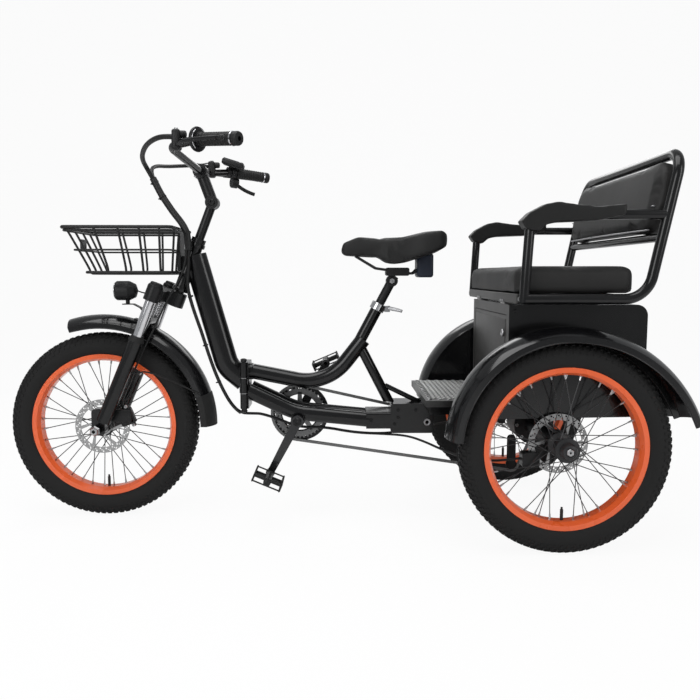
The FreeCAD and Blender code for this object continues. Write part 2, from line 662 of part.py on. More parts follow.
def make_cranks():
    """Spindle with two forged arms, the toothed ring with its guard, and the pedals."""
    arms = []
    for side in (-1, 1):
        centre = Vector(crank_x, 0, crank_z)
        end = crank_end(side)
        low = side * crank_inner_y
        high = side * (crank_inner_y + crank_arm_width)
        hub = rod(centre + Vector(0, low, 0), centre + Vector(0, high, 0), 18)
        tip = rod(end + Vector(0, low, 0), end + Vector(0, high, 0), 13)
        along = (end - centre).normalize()
        across = Vector(-along.z, 0, along.x)
        ring = [centre + across * 14, end + across * 10, end - across * 10, centre - across * 14]
        ring = [p + Vector(0, low, 0) for p in ring]
        web = Part.Face(Part.makePolygon(ring + [ring[0]])).extrude(Vector(0, high - low, 0))
        arms += [hub, tip, web]
    reach = crank_inner_y + crank_arm_width - 4
    spindle = rod(Vector(crank_x, -reach, crank_z), Vector(crank_x, reach, crank_z), spindle_radius)
    cranks = join(arms + [spindle])
    for side in (-1, 1):
        end = crank_end(side)
        cranks = cranks.cut(rod(end + Vector(0, side * (crank_inner_y - 1), 0),
                                end + Vector(0, side * (crank_inner_y + crank_arm_width + 1), 0),
                                pedal_pin_radius + 0.1))
    save(cranks, "cranks")
    centre = Vector(crank_x, chain_y, crank_z)
    teeth = 40
    root = chainring_radius - 6
    points = []
    for i in range(teeth):
        a = 2 * math.pi * i / teeth
        step = 2 * math.pi / teeth
        for part, r in ((0.0, root), (0.28, root), (0.42, chainring_radius), (0.58, chainring_radius),
                        (0.72, root)):
            b = a + part * step
            points.append(Vector(centre.x + r * math.cos(b), chain_y - 1.5, centre.z + r * math.sin(b)))
    ring = Part.Face(Part.makePolygon(points + [points[0]])).extrude(Vector(0, 3, 0))
    ring = ring.cut(rod(centre - Vector(0, 3, 0), centre + Vector(0, 3, 0), root - 16))
    for i in range(5):
        a = 2 * math.pi * i / 5
        arm = block((12, -1.5, -8), (root - 12, 1.5, 8))
        arm.rotate(Vector(0, 0, 0), Vector(0, 1, 0), math.degrees(a))
        arm.translate(centre)
        ring = ring.fuse(arm)
    boss = rod(centre + Vector(0, 1.5, 0), Vector(crank_x, -crank_inner_y, crank_z), 20)
    guard_y = chain_y - 7.5
    guard = pipe(Vector(crank_x, guard_y - 1, crank_z), Vector(crank_x, guard_y + 1, crank_z),
                 chainring_radius + 9, root - 16)
    posts = []
    for i in range(5):
        a = 2 * math.pi * i / 5
        r = root - 12
        foot = Vector(centre.x + r * math.cos(a), chain_y, centre.z - r * math.sin(a))
        posts.append(rod(foot, Vector(foot.x, guard_y, foot.z), 3.5))
    ring = join([ring, boss, guard] + posts)
    ring = ring.cut(rod(Vector(crank_x, -100, crank_z), Vector(crank_x, 0, crank_z), spindle_radius + 0.1))
    save(ring, "chainring")
    for side, name in ((1, "left_pedal"), (-1, "right_pedal")):
        end = crank_end(side)
        low = side * (crank_inner_y + crank_arm_width + 5)
        mid = side * pedal_y
        core = rod(end + Vector(0, low, 0), end + Vector(0, mid + side * pedal_length / 2, 0), 11)
        y0 = mid - pedal_length / 2
        y1 = mid + pedal_length / 2
        frame = rounded_block((end.x - pedal_width / 2, y0, end.z - 12),
                              (end.x + pedal_width / 2, y1, end.z + 12), 10, Vector(0, 0, 1))
        for s in (-1, 1):
            hole = block((end.x + s * 12 if s > 0 else end.x - pedal_width / 2 + 9, y0 + 9, end.z - 13),
                         (end.x + pedal_width / 2 - 9 if s > 0 else end.x - 12, y1 - 9, end.z + 13))
            frame = frame.cut(hole)
        pin = rod(end + Vector(0, side * (crank_inner_y + 1), 0), end + Vector(0, mid, 0), pedal_pin_radius)
        save(join([core, frame, pin]), name)


pedal_pin_radius = 6.0


def belt(circles, offset):
    """A closed path round circles given as (x, z, radius, sense), moved outwards by an offset."""
    count = len(circles)
    touch = []
    for i in range(count):
        x1, z1, r1, s1 = circles[i]
        x2, z2, r2, s2 = circles[(i + 1) % count]
        a = s1 * (r1 + s1 * offset)
        b = s2 * (r2 + s2 * offset)
        dx, dz = x2 - x1, z2 - z1
        span = math.hypot(dx, dz)
        ux, uz = dx / span, dz / span
        cosine = (a - b) / span
        sine = math.sqrt(1 - cosine * cosine)
        nx = ux * cosine + uz * sine
        nz = uz * cosine - ux * sine
        touch.append(((x1 + a * nx, z1 + a * nz), (x2 + b * nx, z2 + b * nz), (nx, nz)))
    edges = []
    for i in range(count):
        (p, q, n) = touch[i]
        edges.append(Part.LineSegment(Vector(p[0], 0, p[1]), Vector(q[0], 0, q[1])).toShape())
        x, z, r, s = circles[(i + 1) % count]
        m = touch[(i + 1) % count][2]
        full = s * (r + s * offset)
        start = math.atan2(n[1], n[0])
        end = math.atan2(m[1], m[0])
        swing = (end - start + math.pi) % (2 * math.pi) - math.pi
        if s > 0 and swing < 0:
            swing += 2 * math.pi
        if s < 0 and swing > 0:
            swing -= 2 * math.pi
        middle = start + swing / 2
        last = touch[(i + 1) % count][0]
        edges.append(Part.Arc(Vector(q[0], 0, q[1]),
                              Vector(x + full * math.cos(middle), 0, z + full * math.sin(middle)),
                              Vector(last[0], 0, last[1])).toShape())
    return Part.Wire(edges)


def make_chain():
    """The chain as one closed loop: two rows of side plates joined by rollers."""
    line = chainring_radius + chain_gap + chain_roller
    circles = [(crank_x, crank_z, line, 1), idler + (1,), (0.0, axle_height, freewheel_radius + 5.0, 1),
               tensioner + (1,)]
    x, z, r = idler
    circles[1] = (x, z, r, -1)
    loop_in = belt(circles, -4.0)
    loop_out = belt(circles, 4.0)
    middle = belt(circles, 0.0)
    band = Part.Face(loop_out).extrude(Vector(0, 1.2, 0)).cut(Part.Face(loop_in).extrude(Vector(0, 1.2, 0)))
    plates = []
    for y in (chain_y - 4.2, chain_y + 3.0):
        plate = band.copy()
        plate.translate(Vector(0, y, 0))
        plates.append(plate)
    count = int(middle.Length / (2 * chain_pitch))
    rollers = []
    for point in middle.discretize(Number=count + 1)[:-1]:
        ring = [Vector(point.x + 3.2 * math.cos(a), chain_y - 3.5, point.z + 3.2 * math.sin(a))
                for a in (math.pi / 3 * n for n in range(6))]
        face = Part.Face(Part.makePolygon(ring + [ring[0]]))
        rollers.append(face.extrude(Vector(0, 7.0, 0)))
    save(join(plates + rollers), "chain")
    x, z, r = idler
    wheel = rod(Vector(x, chain_y - 2.5, z), Vector(x, chain_y + 2.5, z), r - chain_roller - soft_gap)
    axle = rod(Vector(x, chain_y - 7, z), Vector(x, -50, z), 5)
    tx, tz, tr = tensioner
    jockey = rod(Vector(tx, chain_y - 2.5, tz), Vector(tx, chain_y + 2.5, tz), tr - chain_roller - soft_gap)
    cage = []
    for y in (chain_y - 9, chain_y + 7):
        cage.append(rounded_block((tx - 12, y, tz - 12), (tx + 12, y + 2, tz + 92), 11, Vector(0, 1, 0)))
    pin = rod(Vector(tx, chain_y - 9, tz), Vector(tx, chain_y + 9, tz), 4)
    guide = rod(Vector(tx, chain_y - 9, tz + 80), Vector(tx, chain_y + 9, tz + 80), 9)
    hanger = rounded_block((tx - 9, chain_y + 9, tz + 70), (tx + 9, chain_y + 13, axle_height - 52), 8,
                           Vector(0, 1, 0))
    save(Part.makeCompound([join([wheel, axle]), join([jockey, pin, guide, hanger] + cage)]),
         "chain_tensioner")
    sprocket = rod(Vector(0, chain_y - 2, axle_height), Vector(0, chain_y + 2, axle_height),
                   freewheel_radius)
    body = rod(Vector(0, chain_y - 6, axle_height), Vector(0, chain_y + 12, axle_height), 28)
    bore = rod(Vector(0, chain_y - 7, axle_height), Vector(0, chain_y + 13, axle_height),
               rear_axle_radius + 10.1)
    save(join([sprocket, body]).cut(bore), "freewheel")


idler = (352.0, 325.0, 21.0)
tensioner = (38.0, 128.0, 21.0)


def make_rear_frame():
    """Side rails and cross members under the locker, with the hangers that carry the axle."""
    top = box_low_z
    low = top - rail_size
    half = rail_size / 2
    pieces = []
    for y in (-rail_y, rail_y):
        pieces.append(block((-236, y - half, low), (326, y + half, top)))
        pieces.append(rounded_block((-26, y - 5, axle_height - 38), (26, y + 5, low + 2), 12, Vector(0, 1, 0)))
    for x in (-236, 96, 300.2):
        pieces.append(block((x, -rail_y, low), (x + 25, rail_y, top)))
    for x in (150, 316):
        pieces.append(block((x, -board_half_width + 10, top - 1), (x + 20, board_half_width - 10,
                                                              board_top_z - board_sheet)))
    frame = join(pieces)
    lower = block((299, -50.1, 200), (426.1, 50.1, 340.1))
    frame = frame.cut(lower)
    hole = rod(Vector(0, -200, axle_height), Vector(0, 200, axle_height), 26.05)
    save(frame.cut(hole), "rear_frame")
    inner = rear_wheel_y - rear_hub_width / 2 - 8 - rotor_thickness - 6
    beam = rod(Vector(0, -inner + 12, axle_height), Vector(0, -48, axle_height), 26)
    beam = beam.cut(rod(Vector(0, -74, axle_height), Vector(0, -40, axle_height), 40))
    beam2 = rod(Vector(0, 46, axle_height), Vector(0, inner - 12, axle_height), 26)
    case = rod(Vector(0, -46, axle_height), Vector(0, 48, axle_height), 58)
    boss = rod(Vector(0, -76, axle_height), Vector(0, -40, axle_height), 18)
    ends = []
    for side in (-1, 1):
        ends.append(rod(Vector(0, side * (inner - 14), axle_height), Vector(0, side * inner, axle_height), 34))
        ends.append(rod(Vector(0, side * (inner - 20), axle_height),
                        Vector(0, side * (rear_wheel_y + rear_hub_width / 2 + 10), axle_height),
                        rear_axle_radius))
    save(join([beam, beam2, case, boss] + ends), "rear_axle")


def make_footboard():
    """Folded aluminium tread plate ahead of the locker."""
    half = board_half_width
    low_x = box_front_x + 10
    sheet = block((low_x, -half, board_top_z - board_sheet), (board_front_x, half, board_top_z))
    lip = block((board_front_x - board_sheet, -half, board_top_z - 18), (board_front_x, half, board_top_z))
    sides = []
    for y in (-half, half - board_sheet):
        sides.append(block((low_x, y, board_top_z - 18), (board_front_x, y + board_sheet, board_top_z)))
    save(join([sheet, lip] + sides), "footboard")


def make_box():
    """Sheet-steel locker under the bench, with a drop-down door in its front."""
    w = box_wall
    outer = block((box_rear_x, -box_half_width, box_low_z), (box_front_x, box_half_width, box_high_z))
    back = [e for e in outer.Edges if abs(e.tangentAt(0).y) > 0.9 and e.CenterOfMass.x < 0
            and e.CenterOfMass.z > box_high_z - 1]
    outer = outer.makeFillet(30, back)
    inner = block((box_rear_x + w, -box_half_width + w, box_low_z + w),
                  (box_front_x - w, box_half_width - w, box_high_z - w))
    back = [e for e in inner.Edges if abs(e.tangentAt(0).y) > 0.9 and e.CenterOfMass.x < 0
            and e.CenterOfMass.z > box_high_z - w - 1]
    inner = inner.makeFillet(30 - w, back)
    opening = block((box_front_x - w - 1, -door_half_width, door_low_z),
                    (box_front_x + 1, door_half_width, door_high_z))
    shell = outer.cut(inner).cut(opening)
    hinge_x = box_front_x + hinge_radius + 0.3
    hinge_z = door_low_z
    knuckles = []
    for y in (-150.0, 150.0):
        for dy in (-22.0, 22.0):
            barrel = rod(Vector(hinge_x, y + dy - 9, hinge_z), Vector(hinge_x, y + dy + 9, hinge_z),
                         hinge_radius)
            leaf = block((box_front_x - 0.5, y + dy - 9, hinge_z - 16), (box_front_x + 2, y + dy + 9, hinge_z))
            knuckles += [barrel, leaf]
        knuckles.append(rod(Vector(hinge_x, y - 31, hinge_z), Vector(hinge_x, y + 31, hinge_z), 2.0))
    save(join([shell] + knuckles), "locker_box")
    g = door_gap
    panel = block((box_front_x - w, -door_half_width + g, door_low_z + g),
                  (box_front_x, door_half_width - g, door_high_z - g))
    inner_lip = []
    depth = 12.0
    for y in (-door_half_width + g, door_half_width - g - w):
        inner_lip.append(block((box_front_x - depth, y, door_low_z + g + 14),
                               (box_front_x - w / 2, y + w, door_high_z - g)))
    inner_lip.append(block((box_front_x - depth, -door_half_width + g, door_high_z - g - w),
                           (box_front_x - w / 2, door_half_width - g, door_high_z - g)))
    leaves = []
    for y in (-150.0, 150.0):
        barrel = pipe(Vector(hinge_x, y - 12, hinge_z), Vector(hinge_x, y + 12, hinge_z), hinge_radius, 2.3)
        leaf = block((box_front_x - 0.5, y - 12, hinge_z + 2.6), (box_front_x + 2, y + 12, hinge_z + 20))
        leaves += [barrel, leaf]
    pull = rod(Vector(box_front_x - 1, door_half_width - 24, door_high_z - 50),
               Vector(box_front_x + 5, door_half_width - 24, door_high_z - 50), 9)
    save(join([panel] + inner_lip + leaves + [pull]), "locker_door")


hinge_radius = 4.0


def seat_back_point(z):
    """The rear upright's centre line at a height."""
    return seat_back_x - 30 - math.tan(math.radians(seat_back_lean)) * (z - seat_rail_z)


def make_seat_frame():
    """Bent tube bench frame: side loops, top hoop, cross rails and brackets to the locker."""
    r = seat_tube_d / 2
    y = seat_side_y
    top_x = seat_back_point(seat_top_z)
    hoop = [Vector(seat_front_x, y, seat_rail_z), Vector(seat_back_point(seat_rail_z), y, seat_rail_z),
            Vector(top_x, y, seat_top_z), Vector(top_x, -y, seat_top_z),
            Vector(seat_back_point(seat_rail_z), -y, seat_rail_z), Vector(seat_front_x, -y, seat_rail_z)]
    pieces = [bent_tube(hoop, r, [70, 60, 60, 70])]
    for side in (-1, 1):
        rear_x = seat_back_point(arm_tube_z)
        arm = [Vector(seat_front_x, side * y, seat_rail_z - r * 0.6), Vector(seat_front_x - 12, side * y, arm_tube_z),
               Vector(rear_x, side * y, arm_tube_z)]
        pieces.append(bent_tube(arm, r - 1, 45))
    for x in (seat_front_x, -120.0):
        pieces.append(rod(Vector(x, -y, seat_rail_z), Vector(x, y, seat_rail_z), r - 0.5))
    low_x = seat_back_point(back_rail_z)
    pieces.append(rod(Vector(low_x, -y, back_rail_z), Vector(low_x, y, back_rail_z), back_rail_radius))
    for x in (seat_front_x - 12, -132.0):
        for by in (-160.0, 160.0):
            pieces.append(block((x, by - 20, box_high_z), (x + 24, by + 20, seat_rail_z - 6)))
    save(join(pieces), "bench_frame")


def make_cushions():
    """Seat and back cushions and the padded armrests, as plain closed forms."""
    base = seat_rail_z + seat_tube_d / 2 + soft_gap
    seat = rounded_block((cushion_rear_x, -cushion_half_width, base),
                         (cushion_front_x, cushion_half_width, base + cushion_height), 28, Vector(0, 0, 1))
    rim = [e for e in seat.Edges if e.BoundBox.ZLength < 1e-6 and e.CenterOfMass.z > base + 1]
    save(seat.makeFillet(18, rim), "seat_cushion")
    back = math.radians(seat_back_lean)
    low_z = back_rail_z + back_rail_radius + soft_gap
    high_z = seat_top_z - seat_tube_d / 2 - 4
    half = seat_side_y - seat_tube_d / 2 - 6
    tall = (high_z - low_z) / math.cos(back)
    pad = rounded_block((-22, -half, 0), (24, half, tall), 55, Vector(1, 0, 0))
    face = [e for e in pad.Edges if e.BoundBox.XLength < 1e-6 and e.CenterOfMass.x > 0]
    pad = pad.makeFillet(14, face)
    pad.rotate(Vector(0, 0, 0), Vector(0, 1, 0), -seat_back_lean)
    pad.translate(Vector(seat_back_point(low_z) + 2, 0, low_z))
    save(pad, "back_cushion")
    pads = []
    r = seat_tube_d / 2 - 1
    for side in (-1, 1):
        y = side * seat_side_y
        top = [(132, 850), (110, 872), (72, 892), (40, 898), (0, 892), (-60, 886), (-130, 893)]
        low = [(-130, 866), (-60, 852), (40, 848), (68, 842), (88, 824), (118, 830)]
        ring = [Vector(px, y - 24, pz) for px, pz in top + low]
        shape = Part.Face(Part.makePolygon(ring + [ring[0]])).extrude(Vector(0, 48, 0))
        rear_x = seat_back_point(arm_tube_z)
        arm = [Vector(seat_front_x, y, seat_rail_z), Vector(seat_front_x - 12, y, arm_tube_z),
               Vector(rear_x, y, arm_tube_z)]
        pads.append(shape.cut(bent_tube(arm, r + soft_gap, 45)))
    save(Part.makeCompound(pads), "armrest_pads")


def make_rear_fenders():
    """Broad pressed mudguards over the rear wheels, flatter and longer behind."""
    half = rear_fender_half_width
    t = fender_sheet
    depth = 20.0
    z = rear_fender_height
    for name, y in (("left_fender", rear_wheel_y), ("right_fender", -rear_wheel_y)):
        a = [Vector(0, y + o, z - d) for o, d in ((-half, depth + 16), (-half, depth), (0, 0), (half, depth),
                                                  (half, depth + 16))]
        b = [Vector(0, y + o, z - d) for o, d in ((-half + t, depth + 16), (-half + t, depth + 0.6), (0, t),
                                                  (half - t, depth + 0.6), (half - t, depth + 16))]
        edges = [Part.LineSegment(a[0], a[1]), Part.Arc(a[1], a[2], a[3]), Part.LineSegment(a[3], a[4]),
                 Part.LineSegment(a[4], b[4]), Part.LineSegment(b[4], b[3]), Part.Arc(b[3], b[2], b[1]),
                 Part.LineSegment(b[1], b[0]), Part.LineSegment(b[0], a[0])]
        face = Part.Face(Part.Wire([e.toShape() for e in edges]))
        front = face.revolve(Vector(0, y, z - rear_fender_front_radius), Vector(0, 1, 0), 86)
        rear = face.revolve(Vector(0, y, z - rear_fender_rear_radius), Vector(0, 1, 0), -rear_fender_sweep)
        side = 1 if y > 0 else -1
        lip_y = side * (rear_wheel_y - half + t / 2)
        wall_y = side * box_half_width
        stays = []
        for x, r in ((-90.0, rear_fender_rear_radius), (70.0, rear_fender_front_radius)):
            lip_z = z - r + math.sqrt(r * r - x * x) - depth - 12
            stays.append(block((x - 16, min(wall_y, lip_y), lip_z - 1.5),
                               (x + 16, max(wall_y, lip_y), lip_z + 1.5)))
            stays.append(block((x - 16, min(wall_y, wall_y + side * 3), lip_z - 26),
                               (x + 16, max(wall_y, wall_y + side * 3), lip_z + 1)))
        save(join([front, rear] + stays), name)


def make_calipers():
    """Disc brake calipers on their brackets, two behind and one on the fork."""
    rear = []
    for side in (-1, 1):
        disc_y = side * (rear_wheel_y - rear_hub_width / 2 - 8 - rotor_thickness / 2)
        body = rounded_block((52, disc_y - 17, axle_height - 62), (98, disc_y + 17, axle_height - 22), 8,
                             Vector(0, 1, 0))
        slot = block((40, disc_y - 3.5, axle_height - 90), (rotor_radius + 4, disc_y + 3.5, axle_height + 10))
        inner = side * (abs(disc_y) - 21)
        plate = block((10, min(inner, inner + side * 6), axle_height - 60),
                      (70, max(inner, inner + side * 6), axle_height - 8))
        bridge = block((58, min(inner, disc_y), axle_height - 56), (68, max(inner, disc_y), axle_height - 40))
        hub = rod(Vector(0, inner, axle_height), Vector(0, inner + side * 6, axle_height), 34)
        hub = hub.cut(rod(Vector(0, inner - 10, axle_height), Vector(0, inner + 10, axle_height), 34.05 - 8))
        part = join([body, plate, bridge]).cut(slot)
        part = part.cut(rod(Vector(0, -400, axle_height), Vector(0, 400, axle_height), 34.1))
        rear.append(part)
    save(Part.makeCompound(rear), "rear_calipers")


def make_handlebar():
    """Quill stem with its hinge elbow, the swept handlebar, grips, levers and display."""
    collar = rod(steer_point(0, 0, head_length + 0.5), steer_point(0, 0, head_length + 14), 21)
    collar = collar.cut(rod(steer_point(0, 0, head_length), steer_point(0, 0, head_length + 2.2), 12.6))
    riser = rod(steer_point(0, 0, head_length + 12), steer_point(0, 0, 270), 13.5)
    elbow = rod(steer_point(0, -20, 275), steer_point(0, 20, 275), 19)
    clamp_ahead = 62.0
    clamp_up = 346.0
    arm = rod(steer_point(0, 0, 275), steer_point(clamp_ahead, 0, clamp_up), 17)
    clamp = rod(steer_point(clamp_ahead, -24, clamp_up), steer_point(clamp_ahead, 24, clamp_up), 20)
    stem = join([collar, riser, elbow, arm, clamp])
    bar_r = 11.1
    clamp_at = steer_point(clamp_ahead, 0, clamp_up)
    half = [Vector(clamp_at.x, 0, clamp_at.z), Vector(clamp_at.x, 60, clamp_at.z),
            Vector(clamp_at.x + 34, 245, clamp_at.z + 30), Vector(930, 290, clamp_at.z + 39),
            Vector(826, 352, clamp_at.z + 30)]
    other = [Vector(p.x, -p.y, p.z) for p in reversed(half[1:])]
    path = other + half[1:]
    bar = bent_tube(path, bar_r, [60, 45, 50, 50, 45, 60][:len(path) - 2])
    hole = rod(steer_point(clamp_ahead, -30, clamp_up), steer_point(clamp_ahead, 30, clamp_up), bar_r + 0.05)
    save(stem.cut(hole), "stem")
    save(bar, "handlebar")
    grips = []
    levers = []
    for side in (-1, 1):
        end = Vector(826, side * 352, clamp_at.z + 30)
        start = Vector(930, side * 290, clamp_at.z + 39)
        along = (end - start).normalize()
        a = start + along * 14
        tip = end + along * 5
        grip = rod(a, tip, 17).cut(rod(a - along, end + along * 0.4, bar_r + 0.05))
        grips.append(grip)
    save(Part.makeCompound(grips), "grips")


def make_lamp():
    """Round-nosed headlamp on a bent strap from the fork arch."""
    centre = steer_point(146, 0, -57)
    axis = Vector(1, 0, 0)
    p = [(33, 0), (33, 24), (27, 28.5), (-8, 28.5), (-26, 20), (-31, 8), (-31, 0)]
    pts = [Vector(centre.x + a, 0, centre.z + r) for a, r in p]
    lamp = turn(pts, centre, axis)
    foot = rod(centre + Vector(-2, 0, -20), centre + Vector(-2, 0, -38), 6)
    save(join([lamp, foot]), "headlamp")
    low = centre + Vector(-2, 0, -39.6)
    seat = steer_point(crown_offset + arch_radius + 1.9, 0, arch_up)
    bar = strap([low + Vector(14, 0, 0), low + Vector(-18, 0, 0), seat + Vector(16, 0, 32),
                 seat + steer_up * 8, seat - steer_up * 12], 3, -11, 11)
    save(bar, "lamp_bracket")


def make_basket():
    """Wire basket that tapers towards its floor, on a bracket in front of the head tube."""
    top_z = 850.0
    low_z = 726.0
    rear_top, front_top, half_top = 1040.0, 1342.0, 135.0
    rear_low, front_low, half_low = 1052.0, 1273.0, 112.0
    wire = 3.0

    def level(share):
        z = low_z + (top_z - low_z) * share
        xr = rear_low + (rear_top - rear_low) * share
        xf = front_low + (front_top - front_low) * share
        h = half_low + (half_top - half_low) * share
        return z, xr, xf, h

    def hoop(share, radius, corner):
        z, xr, xf, h = level(share)
        pts = [Vector((xr + xf) / 2, -h, z), Vector(xf, -h, z), Vector(xf, h, z), Vector(xr, h, z),
               Vector(xr, -h, z), Vector((xr + xf) / 2, -h, z)]
        return bent_tube(pts, radius, corner)

    pieces = [hoop(1.0, 4.0, 40), hoop(0.0, wire, 30), hoop(0.55, 2.5, 35)]
    z1, xr1, xf1, h1 = level(1.0)
    z0, xr0, xf0, h0 = level(0.0)
    for i in range(7):
        share = (i + 0.5) / 7
        xa = xr1 + 36 + (xf1 - xr1 - 72) * share
        xb = xr0 + 26 + (xf0 - xr0 - 52) * share
        pts = [Vector(xa, -h1, z1), Vector(xb, -h0, z0), Vector(xb, h0, z0), Vector(xa, h1, z1)]
        pieces.append(bent_tube(pts, 2.2, 12))
    for i in range(5):
        share = (i + 0.5) / 5
        ya = -h1 + 36 + (2 * h1 - 72) * share
        yb = -h0 + 26 + (2 * h0 - 52) * share
        pts = [Vector(xr1, ya, z1), Vector(xr0, yb, z0 - 3), Vector(xf0, yb, z0 - 3), Vector(xf1, ya, z1)]
        pieces.append(bent_tube(pts, 2.2, 12))
    save(join(pieces), "basket")
    head_front = steer_point(head_radius, 0, 80)
    plate = block((rear_low - 14, -30, low_z + 8), (rear_low - 8, 30, top_z - 6))
    arm = block((head_front.x - 14, -14, head_front.z - 20), (rear_low - 8, 14, head_front.z + 20))
    head = rod(steer_point(0, 0, -20), steer_point(0, 0, head_length + 20), head_radius + 0.05)
    hooks = block((rear_low - 14, -30, top_z - 14), (rear_top + 2, 30, top_z - 6))
    save(join([plate, arm, hooks]).cut(head).cut(join(pieces)), "basket_bracket")


os.makedirs("parts", exist_ok=True)
make_wheels()
make_fork()
make_front_fender()
make_front_frame()
make_lower_frame()
make_upper_frame()
make_saddle()
make_cranks()
make_chain()
make_rear_frame()
make_footboard()
make_box()
make_seat_frame()
make_cushions()
make_rear_fenders()
make_calipers()
make_handlebar()
make_lamp()
make_basket()
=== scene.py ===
import math

import bpy
from mathutils import Matrix, Vector


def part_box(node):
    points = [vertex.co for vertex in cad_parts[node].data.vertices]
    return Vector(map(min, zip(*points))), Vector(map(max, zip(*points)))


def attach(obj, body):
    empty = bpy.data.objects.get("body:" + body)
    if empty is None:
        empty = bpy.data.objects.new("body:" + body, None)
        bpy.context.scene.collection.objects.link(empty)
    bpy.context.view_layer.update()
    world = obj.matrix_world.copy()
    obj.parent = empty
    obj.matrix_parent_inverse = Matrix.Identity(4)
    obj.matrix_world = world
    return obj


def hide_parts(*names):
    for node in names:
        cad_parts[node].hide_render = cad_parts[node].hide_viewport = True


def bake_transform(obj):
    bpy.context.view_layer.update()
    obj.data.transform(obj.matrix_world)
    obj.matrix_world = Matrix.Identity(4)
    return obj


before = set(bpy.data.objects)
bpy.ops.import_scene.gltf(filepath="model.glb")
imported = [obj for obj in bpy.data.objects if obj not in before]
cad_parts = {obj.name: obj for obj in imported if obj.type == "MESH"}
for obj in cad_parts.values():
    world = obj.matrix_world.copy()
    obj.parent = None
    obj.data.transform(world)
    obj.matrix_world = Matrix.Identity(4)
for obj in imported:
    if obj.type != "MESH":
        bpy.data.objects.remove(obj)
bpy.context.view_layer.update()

# Where things are: the frame's drawings measure from the rear axle's station, in millimetres.
# The rear rims stand on that station, so their middle gives it in the frame's own metres.
rim_low, rim_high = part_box("rear_left_rim")
rear_axle_x = (rim_low[0] + rim_high[0]) / 2


def at(x, y, z):
    """A point in millimetres from the rear axle's station."""
    return Vector((rear_axle_x + x / 1000, y / 1000, z / 1000))


# The camera stands at the tricycle's left, a little above the saddle, two metres from its middle.
# It looks across at the frame, slightly down and a touch towards the rear, as the photograph does.
camera_data = bpy.data.cameras.new("camera")
camera = bpy.data.objects.new("camera", camera_data)
bpy.context.scene.collection.objects.link(camera)
bpy.context.scene.camera = camera
camera_data.lens = 36.63
camera_data.sensor_width = 36.0
camera_yaw = math.radians(1.04)
camera_pitch = math.radians(6.0)
looks_along = Vector((-math.sin(camera_yaw) * math.cos(camera_pitch),
                      -math.cos(camera_yaw) * math.cos(camera_pitch), -math.sin(camera_pitch)))
camera.rotation_euler = looks_along.to_track_quat("-Z", "Y").to_euler()
camera.location = at(584, 2122, 718)

# The studio is a pale floor that runs up into a pale wall, under wide soft lamps.
# The lamps stand high in front, behind the camera and over the rear, so gloss paint gets long streaks.
bpy.context.scene.view_settings.view_transform = "Standard"


class Value:
    """One socket of a material's nodes, so that shader maths reads as plain sums."""

    def __init__(self, tree, socket):
        self.tree = tree
        self.socket = socket

    def node(self, kind, settings=(), inputs=(), output=0):
        """Any node of the same tree, from its settings and the values or links of its sockets."""
        made = self.tree.nodes.new(kind)
        for name, value in dict(settings).items():
            setattr(made, name, value)
        for name, value in dict(inputs).items():
            if isinstance(value, Value):
                self.tree.links.new(value.socket, made.inputs[name])
            else:
                made.inputs[name].default_value = value
        return Value(self.tree, made.outputs[output])

    def sum(self, operation, first, second):
        return self.node("ShaderNodeMath", {"operation": operation}, {0: first, 1: second})

    def __add__(self, other):
        return self.sum("ADD", self, other)

    def __radd__(self, other):
        return self.sum("ADD", other, self)

    def __mul__(self, other):
        return self.sum("MULTIPLY", self, other)

    def __rmul__(self, other):
        return self.sum("MULTIPLY", other, self)

    def __gt__(self, other):
        return self.sum("GREATER_THAN", self, other)

    def limited(self, low=0.0, high=1.0):
        return self.node("ShaderNodeClamp", (), {"Value": self, "Min": low, "Max": high})

    def mixed(self, dark, light):
        """A colour between two, by this value."""
        if not isinstance(dark, Value):
            dark = (*dark, 1.0)
        if not isinstance(light, Value):
            light = (*light, 1.0)
        return self.node("ShaderNodeMix", {"data_type": "RGBA"}, {0: self, 6: dark, 7: light}, 2)

    def noise(self, scale, detail=3.0, stretch=None):
        """A grain from a place in space; stretch sets how far it is drawn out along each axis."""
        place = self
        if stretch:
            place = self.node("ShaderNodeMapping", (), {"Vector": self, "Scale": stretch})
        return self.node("ShaderNodeTexNoise", (), {"Vector": place, "Scale": scale, "Detail": detail})

    def bump(self, depth, strength=1.0):
        """A surface normal from this value as a height, in metres at its full depth."""
        return self.node("ShaderNodeBump", (), {"Height": self, "Distance": depth, "Strength": strength})


def finish_of(name):
    """A new material with its shader, and the place on the object that its patterns read."""
    material = bpy.data.materials.new(name)
    material.use_nodes = True
    tree = material.node_tree
    shader = tree.nodes["Principled BSDF"]
    shader.inputs["Specular IOR Level"].default_value = 0.28
    place = Value(tree, tree.nodes.new("ShaderNodeTexCoord").outputs["Object"])
    return material, shader, place


def feed(shader, **links):
    """Sets the shader's sockets; a name's words are joined by an underscore."""
    for name, value in links.items():
        socket = shader.inputs[name.replace("_", " ")]
        if isinstance(value, Value):
            value.tree.links.new(value.socket, socket)
        elif isinstance(value, tuple) and len(value) == 3 and socket.type == "RGBA":
            socket.default_value = (*value, 1.0)
        else:
            socket.default_value = value


def alone(piece):
    """Selects one piece and nothing else."""
    if bpy.context.mode != "OBJECT":
        bpy.ops.object.mode_set(mode="OBJECT")
    bpy.ops.object.select_all(action="DESELECT")
    piece.select_set(True)
    bpy.context.view_layer.objects.active = piece


def fresh(name, add, **settings):
    """A new primitive with its name, added with nothing else selected."""
    bpy.ops.object.select_all(action="DESELECT")
    add(**settings)
    piece = bpy.context.object
    piece.name = name
    return piece


def shaped(piece, name, kind, **settings):
    """Puts a modifier on a piece and applies it."""
    change = piece.modifiers.new(name, kind)
    for setting, value in settings.items():
        setattr(change, setting, value)
    alone(piece)
    bpy.ops.object.modifier_apply(modifier=name)


